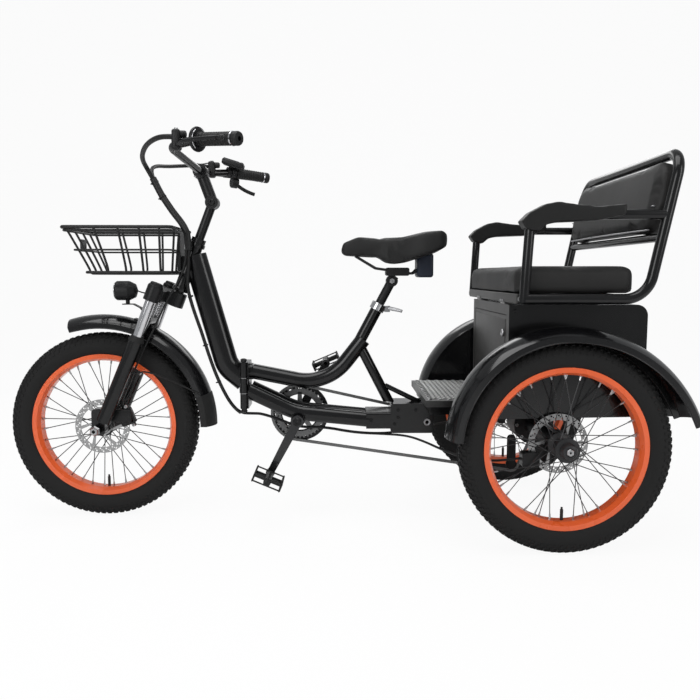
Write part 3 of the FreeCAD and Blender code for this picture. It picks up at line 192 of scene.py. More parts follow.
studio_depth = 9.0
wall_height = 5.0
floor = fresh("studio_floor", bpy.ops.mesh.primitive_plane_add, size=studio_depth)
bpy.ops.object.mode_set(mode="EDIT")
bpy.ops.mesh.select_mode(type="EDGE")
bpy.ops.mesh.select_all(action="DESELECT")
bpy.ops.object.mode_set(mode="OBJECT")
for edge in floor.data.edges:
    ends = [floor.data.vertices[v].co.y for v in edge.vertices]
    edge.select = max(ends) < 0
bpy.ops.object.mode_set(mode="EDIT")
bpy.ops.mesh.extrude_region_move(TRANSFORM_OT_translate={"value": (0, 0, wall_height)})
bpy.ops.object.mode_set(mode="OBJECT")
shaped(floor, "sweep", "BEVEL", width=1.6, segments=12)
bpy.ops.object.shade_smooth()
bpy.ops.object.transform_apply()

material = bpy.data.materials.new("studio_paper")
material.use_nodes = True
tree = material.node_tree
paper = tree.nodes["Principled BSDF"]
paper.inputs["Base Color"].default_value = (0.86, 0.86, 0.86, 1.0)
paper.inputs["Roughness"].default_value = 0.9
ray = tree.nodes.new("ShaderNodeLightPath")
glow = tree.nodes.new("ShaderNodeEmission")
glow.inputs["Color"].default_value = (1.0, 1.0, 1.0, 1.0)
seen = Value(tree, ray.outputs["Is Camera Ray"])
mirrored = Value(tree, ray.outputs["Is Glossy Ray"]) + Value(tree, ray.outputs["Is Transmission Ray"])
share = (seen * 0.93 + mirrored * 0.10).limited()
mix = tree.nodes.new("ShaderNodeMixShader")
tree.links.new(share.socket, mix.inputs[0])
tree.links.new(paper.outputs[0], mix.inputs[1])
tree.links.new(glow.outputs[0], mix.inputs[2])
tree.links.new(mix.outputs[0], tree.nodes["Material Output"].inputs["Surface"])
floor.data.materials.append(material)

world = bpy.data.worlds.new("studio_air")
bpy.context.scene.world = world
world.use_nodes = True
world.node_tree.nodes["Background"].inputs["Color"].default_value = (0.96, 0.98, 1.0, 1.0)
world.node_tree.nodes["Background"].inputs["Strength"].default_value = 0.42


def lamp(name, place, towards, width, height, power):
    """A wide soft lamp that faces a point of the tricycle."""
    data = bpy.data.lights.new(name, "AREA")
    data.shape = "RECTANGLE"
    data.size = width
    data.size_y = height
    data.energy = power
    light = bpy.data.objects.new(name, data)
    bpy.context.scene.collection.objects.link(light)
    light.location = place
    light.rotation_euler = (Vector(towards) - Vector(place)).to_track_quat("-Z", "Y").to_euler()


lamp("lamp_over", (0.3, 0.4, 3.2), (0, 0, 0.4), 3.2, 1.6, 54)
lamp("lamp_left", (1.9, 2.8, 1.8), (0.1, 0, 0.5), 1.6, 1.8, 38)
lamp("lamp_right", (-2.6, 2.2, 1.6), (-0.2, 0, 0.5), 1.0, 1.8, 22)
lamp("lamp_back", (-0.6, -2.6, 2.4), (0, 0, 0.6), 2.6, 1.0, 20)

# The frame is welded steel tube, blasted and powder coated in gloss black, then baked.
# The coat has a faint orange-peel skin; the brackets and small castings are satin black.


def painted(piece, finish):
    """Gives a piece one finish in place of all it had."""
    piece.data.materials.clear()
    piece.data.materials.append(finish)


def coat(name, dark, light, rough, cloud, skin=None, grain=None, clear=None, metal=0.0):
    """A finish that a cloud takes from dark to light, with its least roughness and what the cloud adds.

    The cloud and the grain are what noise takes; the skin is a bump's depth and strength, on the grain
    or else on the cloud. The clear coat has its least weight, what the cloud adds, and a roughness.
    """
    material, shader, place = finish_of(name)
    haze = place.noise(*cloud)
    feed(shader, Base_Color=haze.mixed(dark, light), Roughness=rough[0] + haze * rough[1], Metallic=metal)
    if skin:
        fine = place.noise(*grain) if grain else haze
        feed(shader, Normal=fine.bump(*skin))
    if clear:
        feed(shader, Coat_Weight=clear[0] + haze * clear[1], Coat_Roughness=clear[2])
    return material


gloss_paint = coat("gloss_black_coat", (0.002, 0.002, 0.0022), (0.005, 0.005, 0.0054), (0.16, 0.10),
                   (9.0, 4.0),
                   (0.00012, 0.25), (420.0, 2.0), (0.14, 0.12, 0.08))
satin_paint = coat("satin_black_coat", (0.004, 0.004, 0.0043), (0.009, 0.009, 0.0094), (0.38, 0.16),
                   (14.0, 4.0),
                   (0.00015, 0.35), (900.0, 2.0))


def dress(finish, *nodes):
    """Gives the frame's own pieces their finish."""
    for node in nodes:
        painted(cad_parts[node], finish)


dress(gloss_paint, "main_tube", "lower_tubes", "upper_tube", "rear_frame", "bench_frame", "fork_lowers")
dress(satin_paint, "basket", "basket_bracket", "fold_lever", "lamp_bracket", "seat_post", "saddle_carriage")

# The tyres are three-inch balloon tyres of black rubber, moulded with square tread blocks.
# Four rows of blocks stand on the crown and two wrap each shoulder; the walls are plain.
tyre_half = 0.038
tread_pitches = 92
rubber, shader, place = finish_of("tyre_rubber")
dust = place.noise(30.0, 5.0)
fine = place.noise(700.0, 2.0)
feed(shader, Base_Color=dust.mixed((0.0045, 0.0045, 0.0046), (0.0115, 0.0112, 0.011)),
     Roughness=0.62 + dust * 0.22, Normal=(fine * 0.4 + dust * 0.6).bump(0.0004, 0.5))


def spun(name, outline, steps=96):
    """A ring turned about a wheel's axle from an outline given as radius and offset along the axle."""
    piece = fresh(name, bpy.ops.mesh.primitive_circle_add, vertices=len(outline))
    for vertex, (radius, offset) in zip(piece.data.vertices, outline):
        vertex.co = (0, offset, radius)
    bpy.ops.object.mode_set(mode="EDIT")
    bpy.ops.mesh.select_all(action="SELECT")
    bpy.ops.mesh.spin(steps=steps, angle=2 * math.pi, center=(0, 0, 0), axis=(0, 1, 0))
    bpy.ops.mesh.select_all(action="SELECT")
    bpy.ops.mesh.remove_doubles(threshold=0.00002)
    bpy.ops.mesh.normals_make_consistent(inside=False)
    bpy.ops.object.mode_set(mode="OBJECT")
    return piece


def repeated(piece, count):
    """Repeats all of a piece's parts evenly about an axle."""
    alone(piece)
    bpy.ops.object.mode_set(mode="EDIT")
    bpy.ops.mesh.select_all(action="SELECT")
    bpy.ops.mesh.spin(steps=count - 1, angle=2 * math.pi * (count - 1) / count, dupli=True,
                      center=(0, 0, 0), axis=(0, 1, 0))
    bpy.ops.object.mode_set(mode="OBJECT")


def joined(name, pieces):
    """One mesh from several."""
    alone(pieces[0])
    for piece in pieces[1:]:
        piece.select_set(True)
    bpy.ops.object.join()
    pieces[0].name = name
    return pieces[0]


def smooth(piece, angle=35.0):
    """Smooth shading that keeps creases sharper than an angle."""
    alone(piece)
    bpy.ops.object.shade_smooth_by_angle(angle=math.radians(angle))


def settle(piece, body, finish, slot, *stands_for):
    """Puts a finished piece's place into its mesh and hangs it on its body, when one is given."""
    alone(piece)
    bpy.ops.object.transform_apply(location=True, rotation=True, scale=True)
    if finish:
        painted(piece, finish)
    if body:
        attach(piece, body)
    if stands_for:
        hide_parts(*stands_for)
    return piece


def copied(piece, name, move):
    """A copy with its own mesh, moved by a step."""
    other = piece.copy()
    other.data = piece.data.copy()
    other.name = name
    other.location = Vector(piece.location) + Vector(move)
    bpy.context.scene.collection.objects.link(other)
    return other


def middle_of(node):
    """The middle of a node's box in the frame."""
    low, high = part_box(node)
    return Vector([(a + b) / 2 for a, b in zip(low, high)])


def empty_form(name):
    """A mesh with nothing in it yet, open for editing."""
    piece = fresh(name, bpy.ops.mesh.primitive_cube_add, size=0.001)
    bpy.ops.object.mode_set(mode="EDIT")
    bpy.ops.mesh.delete(type="VERT")
    return piece


def wall_point(turn):
    """The tyre's outline by an angle from its crown: radius and offset."""
    middle = 0.2393
    rise = 0.0331
    across = math.copysign(abs(math.sin(turn)) ** 0.6, turn)
    return middle + rise * math.cos(turn), tyre_half * across


bead = 0.2083
outline = [wall_point(math.radians(a)) for a in range(-148, 149, 8)]
outline = [(bead, -0.0260)] + outline + [(bead, 0.0260)]
tyre = spun("tyre_form", outline, 120)
smooth(tyre, 50)

# each row of blocks: its angle round the outline, its step along the tread, length, width, twist, height
rows = [(9, 0.0, 0.0118, 0.0085, 12, 0.0038), (-9, 0.5, 0.0118, 0.0085, -12, 0.0038),
        (27, 0.5, 0.0118, 0.0075, -8, 0.0038), (-27, 0.0, 0.0118, 0.0075, 8, 0.0038),
        (48, 0.0, 0.0112, 0.0085, 0, 0.0034), (-48, 0.5, 0.0112, 0.0085, 0, 0.0034),
        (70, 0.5, 0.0100, 0.0075, 0, 0.0026), (-70, 0.0, 0.0100, 0.0075, 0, 0.0026)]
blocks = empty_form("tread_blocks")
for turn, step, length, width, twist, height in rows:
    radius, offset = wall_point(math.radians(turn))
    inside, beside = wall_point(math.radians(turn + 2))
    lean = math.atan2(inside - radius, beside - offset)
    along = math.radians(360 / tread_pitches * step)
    out = Vector((math.sin(along), 0, math.cos(along)))
    tilt = Matrix.Rotation(along, 3, "Y") @ Matrix.Rotation(lean, 3, "X")
    turned = tilt @ Matrix.Rotation(math.radians(twist), 3, "Z") @ Matrix.Rotation(math.radians(45), 3, "Z")
    up = tilt @ Vector((0, 0, 1))
    middle = out * radius + Vector((0, offset, 0)) + up * (height / 2 - 0.0012)
    bpy.ops.mesh.primitive_cone_add(vertices=4, radius1=0.5, radius2=0.41, depth=1.0, location=middle,
                                    rotation=turned.to_euler(), scale=(length * 1.3, width * 1.3, height))
bpy.ops.object.mode_set(mode="OBJECT")
repeated(blocks, tread_pitches)
rubber_tyre = joined("tyre_form", [tyre, blocks])
for wheel in ("front", "rear_left", "rear_right"):
    node = wheel + "_tyre"
    settle(copied(rubber_tyre, node + "_tread", middle_of(node)), wheel + "_wheel", rubber, "tyre", node)
bpy.data.objects.remove(rubber_tyre)

# The rims are double-wall alloy, powder coated in gloss orange; the spokes screw into brass nipples.
# A rubber valve stands through each rim's well, opposite the joint.
orange_paint = coat("orange_coat", (0.70, 0.098, 0.024), (0.84, 0.140, 0.036), (0.22, 0.12), (12.0, 4.0),
                    (0.0001, 0.25), (500.0, 2.0), (0.45, 0.2, 0.1))
dress(orange_paint, "front_rim", "rear_left_rim", "rear_right_rim")
steel = coat("bright_steel", (0.30, 0.30, 0.305), (0.46, 0.46, 0.465), (0.20, 0.18),
             (260.0, 3.0, (1.0, 6.0, 1.0)),
             (0.00005, 0.3), metal=1.0)
valve_rubber, shader, place = finish_of("valve_rubber")
feed(shader, Base_Color=place.noise(300.0).mixed((0.015, 0.015, 0.015), (0.03, 0.03, 0.03)),
     Roughness=0.55 + place.noise(80.0) * 0.2)

spoke_count = 36
rim_inner = 0.192
lace_share = 0.9


def laced(flange_radius, hub_half, foot_radius=None, lap=0):
    """Each spoke's foot and head; a smaller foot circle laps the spoke round the hub by an angle."""
    lace = flange_radius - 0.005
    per_side = spoke_count // 2
    ends = []
    for side in (-1, 1):
        for i in range(per_side):
            foot_angle = 2 * math.pi * (i + 0.25 * side) / per_side
            way = 1 if i % 2 else -1
            head_angle = foot_angle + math.radians(52) * way * (1 - lace / rim_inner) * lace_share
            if foot_radius:
                foot_angle = head_angle - math.radians(lap) * way
            foot = Vector((math.cos(foot_angle), 0, math.sin(foot_angle))) * (foot_radius or lace)
            head = Vector((rim_inner * math.cos(head_angle), side * 0.005,
                           rim_inner * math.sin(head_angle)))
            ends.append((foot + Vector((0, side * (hub_half - 0.006), 0)), head))
    return ends


def rods(name, ends, start, length, foot_size, head_size):
    """Small rods on the spokes' lines, measured back from their heads."""
    piece = empty_form(name)
    for foot, head in ends:
        along = (head - foot).normalized()
        long = length or (head - foot).length - start
        bpy.ops.mesh.primitive_cone_add(vertices=6, radius1=foot_size, radius2=head_size, depth=long,
                                        location=head - along * (start + long / 2),
                                        rotation=along.to_track_quat("Z", "Y").to_euler())
    bpy.ops.object.mode_set(mode="OBJECT")
    return piece


rear_lacing = laced(0.048, 0.038, 0.0275, 62)
front_nipples = rods("nipples", laced(0.032, 0.042), -0.0003, 0.013, 0.0021, 0.0030)
rear_nipples = rods("nipples", rear_lacing, -0.0003, 0.013, 0.0021, 0.0030)
hubs = {}
for wheel, form in (("front", front_nipples), ("rear_left", rear_nipples), ("rear_right", rear_nipples)):
    hub = middle_of(wheel + "_rim")
    hubs[wheel] = hub
    settle(copied(form, wheel + "_nipples", hub), wheel + "_wheel", steel, "steel")
    valve = fresh(wheel + "_valve", bpy.ops.mesh.primitive_cylinder_add, vertices=16, radius=0.0042,
                  depth=0.030, location=hub + Vector((0, 0, -0.179)))
    bpy.ops.object.mode_set(mode="EDIT")
    bpy.ops.mesh.select_mode(type="FACE")
    bpy.ops.mesh.select_all(action="DESELECT")
    bpy.ops.object.mode_set(mode="OBJECT")
    for face in valve.data.polygons:
        face.select = face.normal.z > 0.9
    bpy.ops.object.mode_set(mode="EDIT")
    bpy.ops.mesh.inset(thickness=0.0014)
    bpy.ops.mesh.extrude_region_move(TRANSFORM_OT_translate={"value": (0, 0, 0.006)})
    bpy.ops.object.mode_set(mode="OBJECT")
    smooth(valve)
    settle(valve, wheel + "_wheel", valve_rubber, "rubber")
bpy.data.objects.remove(front_nipples)
bpy.data.objects.remove(rear_nipples)

# The hubs are black cast shells that the spokes hook into; the spokes are drawn wire, blacked.
# One piece in the frame holds both, so its finish changes from paint to wire beyond the flanges.
shell_outline = [(0.0090, -0.0455), (0.0235, -0.0455), (0.0240, -0.0350), (0.0320, -0.0345),
                 (0.0325, -0.0325),
         (0.0320, -0.0300), (0.0200, -0.0240), (0.0180, 0.0), (0.0200, 0.0240), (0.0320, 0.0300),
                 (0.0325, 0.0325),
         (0.0320, 0.0345), (0.0225, 0.0370), (0.0215, 0.0480), (0.0180, 0.0540), (0.0110, 0.0565),
                 (0.0105, 0.0540),
         (0.0090, 0.0540)]
for wheel, side in (("rear_left", 1), ("rear_right", -1)):
    form = spun("hub_shell", [(r, side * h) for r, h in shell_outline], 64)
    smooth(form, 35)
    form = joined(wheel + "_hub_form", [form, rods("spokes", rear_lacing, 0.0060, 0, 0.0012, 0.0012)])
    form.location = hubs[wheel]
    settle(form, wheel + "_wheel", None, "satin_black", wheel + "_hub")
    nut = [(0.0030, 0.0), (0.0105, 0.0), (0.0105, 0.0040), (0.0090, 0.0058), (0.0030, 0.0060)]
    cap = spun(wheel + "_hub_nut", [(r, side * h) for r, h in nut], 6)
    cap.location = hubs[wheel] + Vector((0, side * 0.0520, 0))
    settle(cap, wheel + "_wheel", steel, "steel")
for wheel, flange in (("front", 0.033), ("rear_left", 0.0335), ("rear_right", 0.0335)):
    hub_finish, shader, place = finish_of(wheel + "_hub_finish")
    hub = hubs[wheel]
    centred = place.node("ShaderNodeVectorMath", {"operation": "SUBTRACT"}, {0: place, 1: hub})
    flat = centred.node("ShaderNodeVectorMath", {"operation": "MULTIPLY"}, {0: centred, 1: (1, 0, 1)})
    radius = flat.node("ShaderNodeVectorMath", {"operation": "LENGTH"}, {0: flat}, 1)
    wire = radius > flange
    grain = place.noise(300.0)
    shell = grain.mixed((0.012, 0.012, 0.013), (0.03, 0.03, 0.031))
    bright = grain.mixed((0.030, 0.030, 0.031), (0.065, 0.065, 0.066))
    feed(shader, Base_Color=wire.mixed(shell, bright), Metallic=wire * 0.8, Roughness=0.30 + grain * 0.15,
         Normal=grain.bump(0.0001, 0.3))
    if wheel == "front":
        dress(hub_finish, "front_hub")
    else:
        painted(bpy.data.objects[wheel + "_hub_form"], hub_finish)

# The brake discs are laser-cut stainless rings with rows of round holes, on swept arms.
# They are bolted with six screws to the hubs.
disc_radius = 0.080
disc_thick = 0.002
disc_steel = coat("disc_steel", (0.26, 0.26, 0.26), (0.42, 0.42, 0.42), (0.22, 0.16), (500.0, 2.0),
                  (0.00004, 0.4), metal=1.0)
half = disc_thick / 2


def cut_by(piece, cutter):
    """Cuts one piece with another, which is then thrown away."""
    shaped(piece, "cut", "BOOLEAN", object=cutter)
    bpy.data.objects.remove(cutter)


ring = spun("disc_ring", [(disc_radius - 0.017, -half), (disc_radius, -half), (disc_radius, half),
                          (disc_radius - 0.017, half)], 72)
boss = spun("disc_boss", [(0.019, -half), (0.027, -half), (0.027, half), (0.019, half)], 48)
sweep = math.radians(34)
arm = fresh("disc_arms", bpy.ops.mesh.primitive_cube_add, size=1.0)
for vertex in arm.data.vertices:
    far = vertex.co.z > 0
    wide = 0.0052 if far else 0.0038
    reach = 0.0650 if far else 0.0235
    turn = (sweep if far else 0.0) + math.copysign(wide, vertex.co.x) / reach
    vertex.co = (reach * math.sin(turn), math.copysign(half * 0.98, vertex.co.y), reach * math.cos(turn))
repeated(arm, 6)
laid = (math.radians(90), 0, 0)
cutter = fresh("disc_holes", bpy.ops.mesh.primitive_cylinder_add, vertices=10, radius=0.0026, depth=0.01,
               location=(0, 0, disc_radius - 0.0046), rotation=laid)
bpy.ops.object.mode_set(mode="EDIT")
slant = math.radians(7)
for radius, turn, size in ((disc_radius - 0.0125, slant, 0.0026),
                           (disc_radius - 0.0085, -slant * 0.5, 0.0018)):
    bpy.ops.mesh.primitive_cylinder_add(vertices=10, radius=size, depth=0.01,
                                        location=(radius * math.sin(turn), 0, radius * math.cos(turn)),
                                        rotation=laid)
bpy.ops.object.mode_set(mode="OBJECT")
bpy.ops.object.transform_apply()
repeated(cutter, 24)
cut_by(ring, cutter)
disc = joined("disc_form", [ring, boss, arm])
screw = fresh("disc_screws", bpy.ops.mesh.primitive_cylinder_add, vertices=12, radius=0.0036,
              depth=disc_thick + 0.003, location=(0, 0, 0.023), rotation=laid)
bpy.ops.object.transform_apply()
repeated(screw, 6)
disc = joined("disc_form", [disc, screw])
for wheel in hubs:
    node = wheel + "_brake_disc"
    settle(copied(disc, wheel + "_disc", middle_of(node)), wheel + "_wheel", disc_steel, "steel", node)
bpy.data.objects.remove(disc)

# The fork is a suspension fork: chromed stanchions slide in black cast legs under a cast crown.
# A coil spring is wound round each inner guide rod, between the crown and the arch.
chrome = coat("hard_chrome", (0.52, 0.52, 0.53), (0.70, 0.70, 0.72), (0.06, 0.10), (22.0, 4.0), metal=1.0)
dress(chrome, "fork_stanchions")
cast_black = coat("cast_black", (0.005, 0.005, 0.0055), (0.011, 0.011, 0.0115), (0.26, 0.14), (18.0, 3.0),
                  (0.0002, 0.3), (600.0, 3.0))
dress(cast_black, "fork_crown", "stem")

head_lean = math.radians(21.5)
head_foot = at(1048, 0, 672)
steer_up = Vector((-math.sin(head_lean), 0, math.cos(head_lean)))
steer_ahead = Vector((math.cos(head_lean), 0, math.sin(head_lean)))


def on_steering(ahead, left, up):
    """A point in millimetres from the head tube's foot, along the steering axis."""
    return head_foot + (steer_ahead * ahead + Vector((0, left, 0)) + steer_up * up) / 1000


def line_of(name, points, radius, sides=4, order=3):
    """A smooth round cord, wire or tube along given points."""
    data = bpy.data.curves.new(name, "CURVE")
    data.dimensions = "3D"
    data.bevel_depth = radius
    data.bevel_resolution = sides
    data.use_fill_caps = True
    spline = data.splines.new("NURBS")
    spline.points.add(len(points) - 1)
    for point, place in zip(spline.points, points):
        point.co = (*place, 1.0)
    spline.order_u = order
    spline.use_endpoint_u = True
    spline.resolution_u = 10
    piece = bpy.data.objects.new(name, data)
    bpy.context.scene.collection.objects.link(piece)
    alone(piece)
    bpy.ops.object.convert(target="MESH")
    piece = bpy.context.object
    bpy.ops.object.shade_smooth()
    return piece


spring_low, spring_high, spring_turns = -100.0, -50.0, 9
for side in (-1, 1):
    winding = []
    for i in range(spring_turns * 10 + 1):
        turn = 2 * math.pi * i / 10
        up = spring_low + (spring_high - spring_low) * i / (spring_turns * 10)
        winding.append(on_steering(50 + 10.4 * math.cos(turn), side * 36 + 10.4 * math.sin(turn), up))
    settle(line_of("spring_%d" % (side + 2), winding, 0.0014, 3), "steering", steel, "steel")

# Rubber wipers seal the tops of the lower legs, and round adjusters cap the crown's two ends.
wiper_rubber = coat("wiper_rubber", (0.008, 0.008, 0.008), (0.016, 0.016, 0.016), (0.55, 0.2), (400.0,),
                    (0.0002, 0.4))


def collar_on(name, centre, along, profile, sides=40):
    """A turned part whose outline is given as radius and height along its axis, both in metres."""
    piece = spun(name, profile, sides)
    piece.rotation_mode = "QUATERNION"
    piece.rotation_quaternion = Vector((0, 1, 0)).rotation_difference(Vector(along))
    piece.location = centre
    smooth(piece, 40)
    return piece


for side in (-1, 1):
    wiper = [(0.0147, 0.0), (0.0225, 0.0), (0.0225, 0.005), (0.0195, 0.009), (0.0175, 0.016),
             (0.0147, 0.016)]
    settle(collar_on("wiper_%d" % (side + 2), on_steering(50, side * 90, -172), steer_up, wiper),
           "steering", wiper_rubber, "rubber")
    cap = [(0.001, 0.0), (0.0215, 0.0), (0.0215, 0.003), (0.0185, 0.0055), (0.0175, 0.0105),
           (0.0155, 0.012),
           (0.001, 0.012)]
    settle(collar_on("crown_cap_%d" % (side + 2), on_steering(50, side * 90, -6), steer_up, cap),
           "steering", satin_paint, "satin_black")
    nut = [(0.0055, 0.0), (0.0155, 0.0), (0.0155, 0.0035), (0.0125, 0.0065), (0.0105, 0.0125),
           (0.0055, 0.0125)]
    settle(collar_on("axle_nut_%d" % (side + 2), hubs["front"] + Vector((0, side * 0.1101, 0)),
                     (0, side, 0), nut, 6), "steering", steel, "steel")

# The mudguards are pressed steel in gloss black with a rolled bead along each lower edge.
# The front one hangs from a plate on the fork's arch and two wire stays, and ends in a rubber flap.
guard_gloss = coat("guard_gloss", (0.0025, 0.0025, 0.003), (0.006, 0.006, 0.0064), (0.12, 0.10), (7.0, 4.0),
                   clear=(0.22, 0.15, 0.06))
dress(guard_gloss, "front_fender", "left_fender", "right_fender")


def bead_along(name, centre, radius, start, end, offset, size, body):
    """A rolled bead along a mudguard's edge: an arc about a centre, between two angles from upright."""
    steps = 14
    points = []
    for i in range(steps + 1):
        turn = math.radians(start + (end - start) * i / steps)
        points.append(Vector(centre) + Vector((radius * math.sin(turn), offset, radius * math.cos(turn))))
    settle(line_of(name, points, size, 3), body, guard_gloss, "gloss_black")


for side in (-1, 1):
    bead_along("front_bead_%d" % (side + 2), hubs["front"], 0.2905, -89.5, 16.8, side * 0.0492, 0.0018,
               "steering")
    for wheel, y in (("left", 0.330), ("right", -0.330)):
        for edge, radius, start, end in (("rear", 0.371, -69, 0), ("front", 0.308, 0, 86)):
            centre = Vector((rear_axle_x, y, 0.589 - radius))
            bead_along("%s_%s_bead_%d" % (wheel, edge, side + 2), centre, radius - 0.0355, start, end,
                       side * 0.0592, 0.0018, "chassis")

foot_lean = math.radians(-19.5)
foot_spot = hubs["front"] + Vector((math.sin(foot_lean), 0, math.cos(foot_lean))) * 0.3275
for name, size, lean, spot in (("hanger", (0.0030, 0.026, 0.040), -head_lean, on_steering(63.6, 0, -115)),
                               ("foot", (0.034, 0.026, 0.0050), foot_lean, foot_spot)):
    plate = fresh("front_guard_" + name, bpy.ops.mesh.primitive_cube_add, size=1.0)
    plate.scale = size
    bpy.ops.object.transform_apply(scale=True)
    plate.rotation_euler = (0, lean, 0)
    plate.location = spot
    settle(plate, "steering", satin_paint, "satin_black")
tail = math.radians(-72)
for side in (-1, 1):
    stay = [on_steering(44, side * 86, -262), on_steering(28, side * 80, -268),
            hubs["front"] + Vector((-0.150, side * 0.058, 0.170)),
            hubs["front"] + Vector((0.306 * math.sin(tail), side * 0.0520, 0.306 * math.cos(tail)))]
    settle(line_of("front_stay_%d" % (side + 2), stay, 0.0024), "steering", satin_paint, "satin_black")


def guard_strip(name, outline, start, end, centre, finish, body):
    """A strip bent round a wheel between two angles from upright, from its section."""
    piece = fresh(name, bpy.ops.mesh.primitive_circle_add, vertices=len(outline))
    a = math.radians(start)
    for vertex, (radius, offset) in zip(piece.data.vertices, outline):
        vertex.co = Vector(centre) + Vector((radius * math.sin(a), offset, radius * math.cos(a)))
    bpy.ops.object.mode_set(mode="EDIT")
    bpy.ops.mesh.select_all(action="SELECT")
    bpy.ops.mesh.edge_face_add()
    bpy.ops.mesh.spin(steps=24, angle=math.radians(start - end), center=centre, axis=(0, 1, 0))
    bpy.ops.mesh.select_all(action="SELECT")
    bpy.ops.mesh.normals_make_consistent(inside=False)
    bpy.ops.object.mode_set(mode="OBJECT")
    smooth(piece, 35)
    return settle(piece, body, finish, "rubber")


bow = [(328.0 - 24.0 * (abs(y) / 50.0) ** 2, y) for y in (-50, -42, -32, -20, -8, 8, 20, 32, 42, 50)]
outer = [(289.0, -51.4), (304.0, -51.4)] + [(r + 1.8, y * 1.028) for r, y in bow] + [(304.0, 51.4),
                                                                                     (289.0, 51.4)]
inner = [(289.0, 49.8), (304.0, 49.6)] + [(r - 0.8, y * 0.99) for r, y in reversed(bow)] + [(304.0, -49.6),
                                                                                            (289.0, -49.8)]
flap = [(r / 1000, y / 1000) for r, y in outer + inner]
guard_strip("mud_flap", flap, -73.0, -90.5, hubs["front"], wiper_rubber, "steering")
for wheel, side in (("left", 1), ("right", -1)):
    arc = []
    for step in range(13):
        a = math.radians(79 - 79 * step / 12)
        arc.append(Vector((rear_axle_x + 0.290 * math.sin(a), 0, 0.281 + 0.290 * math.cos(a))))
    for step in range(1, 13):
        a = math.radians(69 * step / 12)
        arc.append(Vector((rear_axle_x - 0.353 * math.sin(a), 0, 0.218 + 0.353 * math.cos(a))))
    panel = fresh(wheel + "_guard_panel", bpy.ops.mesh.primitive_circle_add, vertices=len(arc))
    for vertex, spot in zip(panel.data.vertices, arc):
        vertex.co = spot + Vector((0, side * 0.2692, 0))
    bpy.ops.object.mode_set(mode="EDIT")
    bpy.ops.mesh.select_all(action="SELECT")
    bpy.ops.mesh.edge_face_add()
    bpy.ops.mesh.extrude_region_move(TRANSFORM_OT_translate={"value": (0, side * 0.0014, 0)})
    bpy.ops.mesh.select_all(action="SELECT")
    bpy.ops.mesh.normals_make_consistent(inside=False)
    bpy.ops.object.mode_set(mode="OBJECT")
    settle(panel, "chassis", guard_gloss, "gloss_black")

# The headlamp is a moulded black shell with a clear lens over a faceted bright reflector.
# It stands on a bent strap from the fork's arch; its plain glass has a thin bright rim.
lamp_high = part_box("headlamp")[1]
lamp_front = Vector((lamp_high[0], 0, lamp_high[2] - 0.0285))
plastic_black = coat("moulded_black", (0.007, 0.007, 0.0075), (0.015, 0.015, 0.0155), (0.40, 0.15),
                     (25.0, 3.0),
                     (0.0002, 0.4), (900.0, 2.0))
dress(plastic_black, "headlamp")
lens_glass, shader, place = finish_of("lens_glass")
rings = place.node("ShaderNodeTexWave", {"wave_type": "RINGS", "rings_direction": "X"},
                   {"Vector": place, "Scale": 90.0})
feed(shader, Base_Color=place.noise(60.0).mixed((0.82, 0.84, 0.86), (0.95, 0.96, 0.97)),
     Roughness=0.05 + rings * 0.06, Normal=rings.bump(0.0004, 0.4))
shader.inputs["Transmission Weight"].default_value = 0.7
shader.inputs["IOR"].default_value = 1.49
glass = [(0.0005, 0.0), (0.0225, 0.0), (0.0225, 0.0012), (0.018, 0.0030), (0.010, 0.0042), (0.0005, 0.0046)]
settle(collar_on("headlamp_glass", lamp_front - Vector((0.0040, 0, 0)), (1, 0, 0), glass, 48), "steering",
       lens_glass, "gloss_black")
rim_ring = [(0.0215, 0.0), (0.0255, 0.0), (0.0255, 0.002), (0.0235, 0.0035), (0.0215, 0.002)]
settle(collar_on("headlamp_rim", lamp_front - Vector((0.0034, 0, 0)), (1, 0, 0), rim_ring, 48), "steering",
       chrome, "bright_metal")

# The brake calipers are cast in two halves and black anodised, with bright socket bolts.
# Each stands over its disc's edge: behind on the axle's ends, in front on the left lower leg.
dress(cast_black, "rear_calipers")


def about(centre, angle, along, up, left):
    """A point in millimetres in a frame that is turned about an axle by an angle in degrees."""
    a = math.radians(angle)
    return centre + Vector((along * math.cos(a) + up * math.sin(a), left,
                            up * math.cos(a) - along * math.sin(a))) / 1000


def slab(name, low, high, soft=0.001, segments=3):
    """A block between two corners, its edges rounded by a bevel."""
    low, high = Vector(low), Vector(high)
    piece = fresh(name, bpy.ops.mesh.primitive_cube_add, size=1.0, location=(low + high) / 2)
    piece.scale = high - low
    bpy.ops.object.transform_apply(location=False, rotation=False, scale=True)
    shaped(piece, "edges", "BEVEL", width=soft, segments=segments, limit_method="NONE")
    smooth(piece, 40)
    return piece


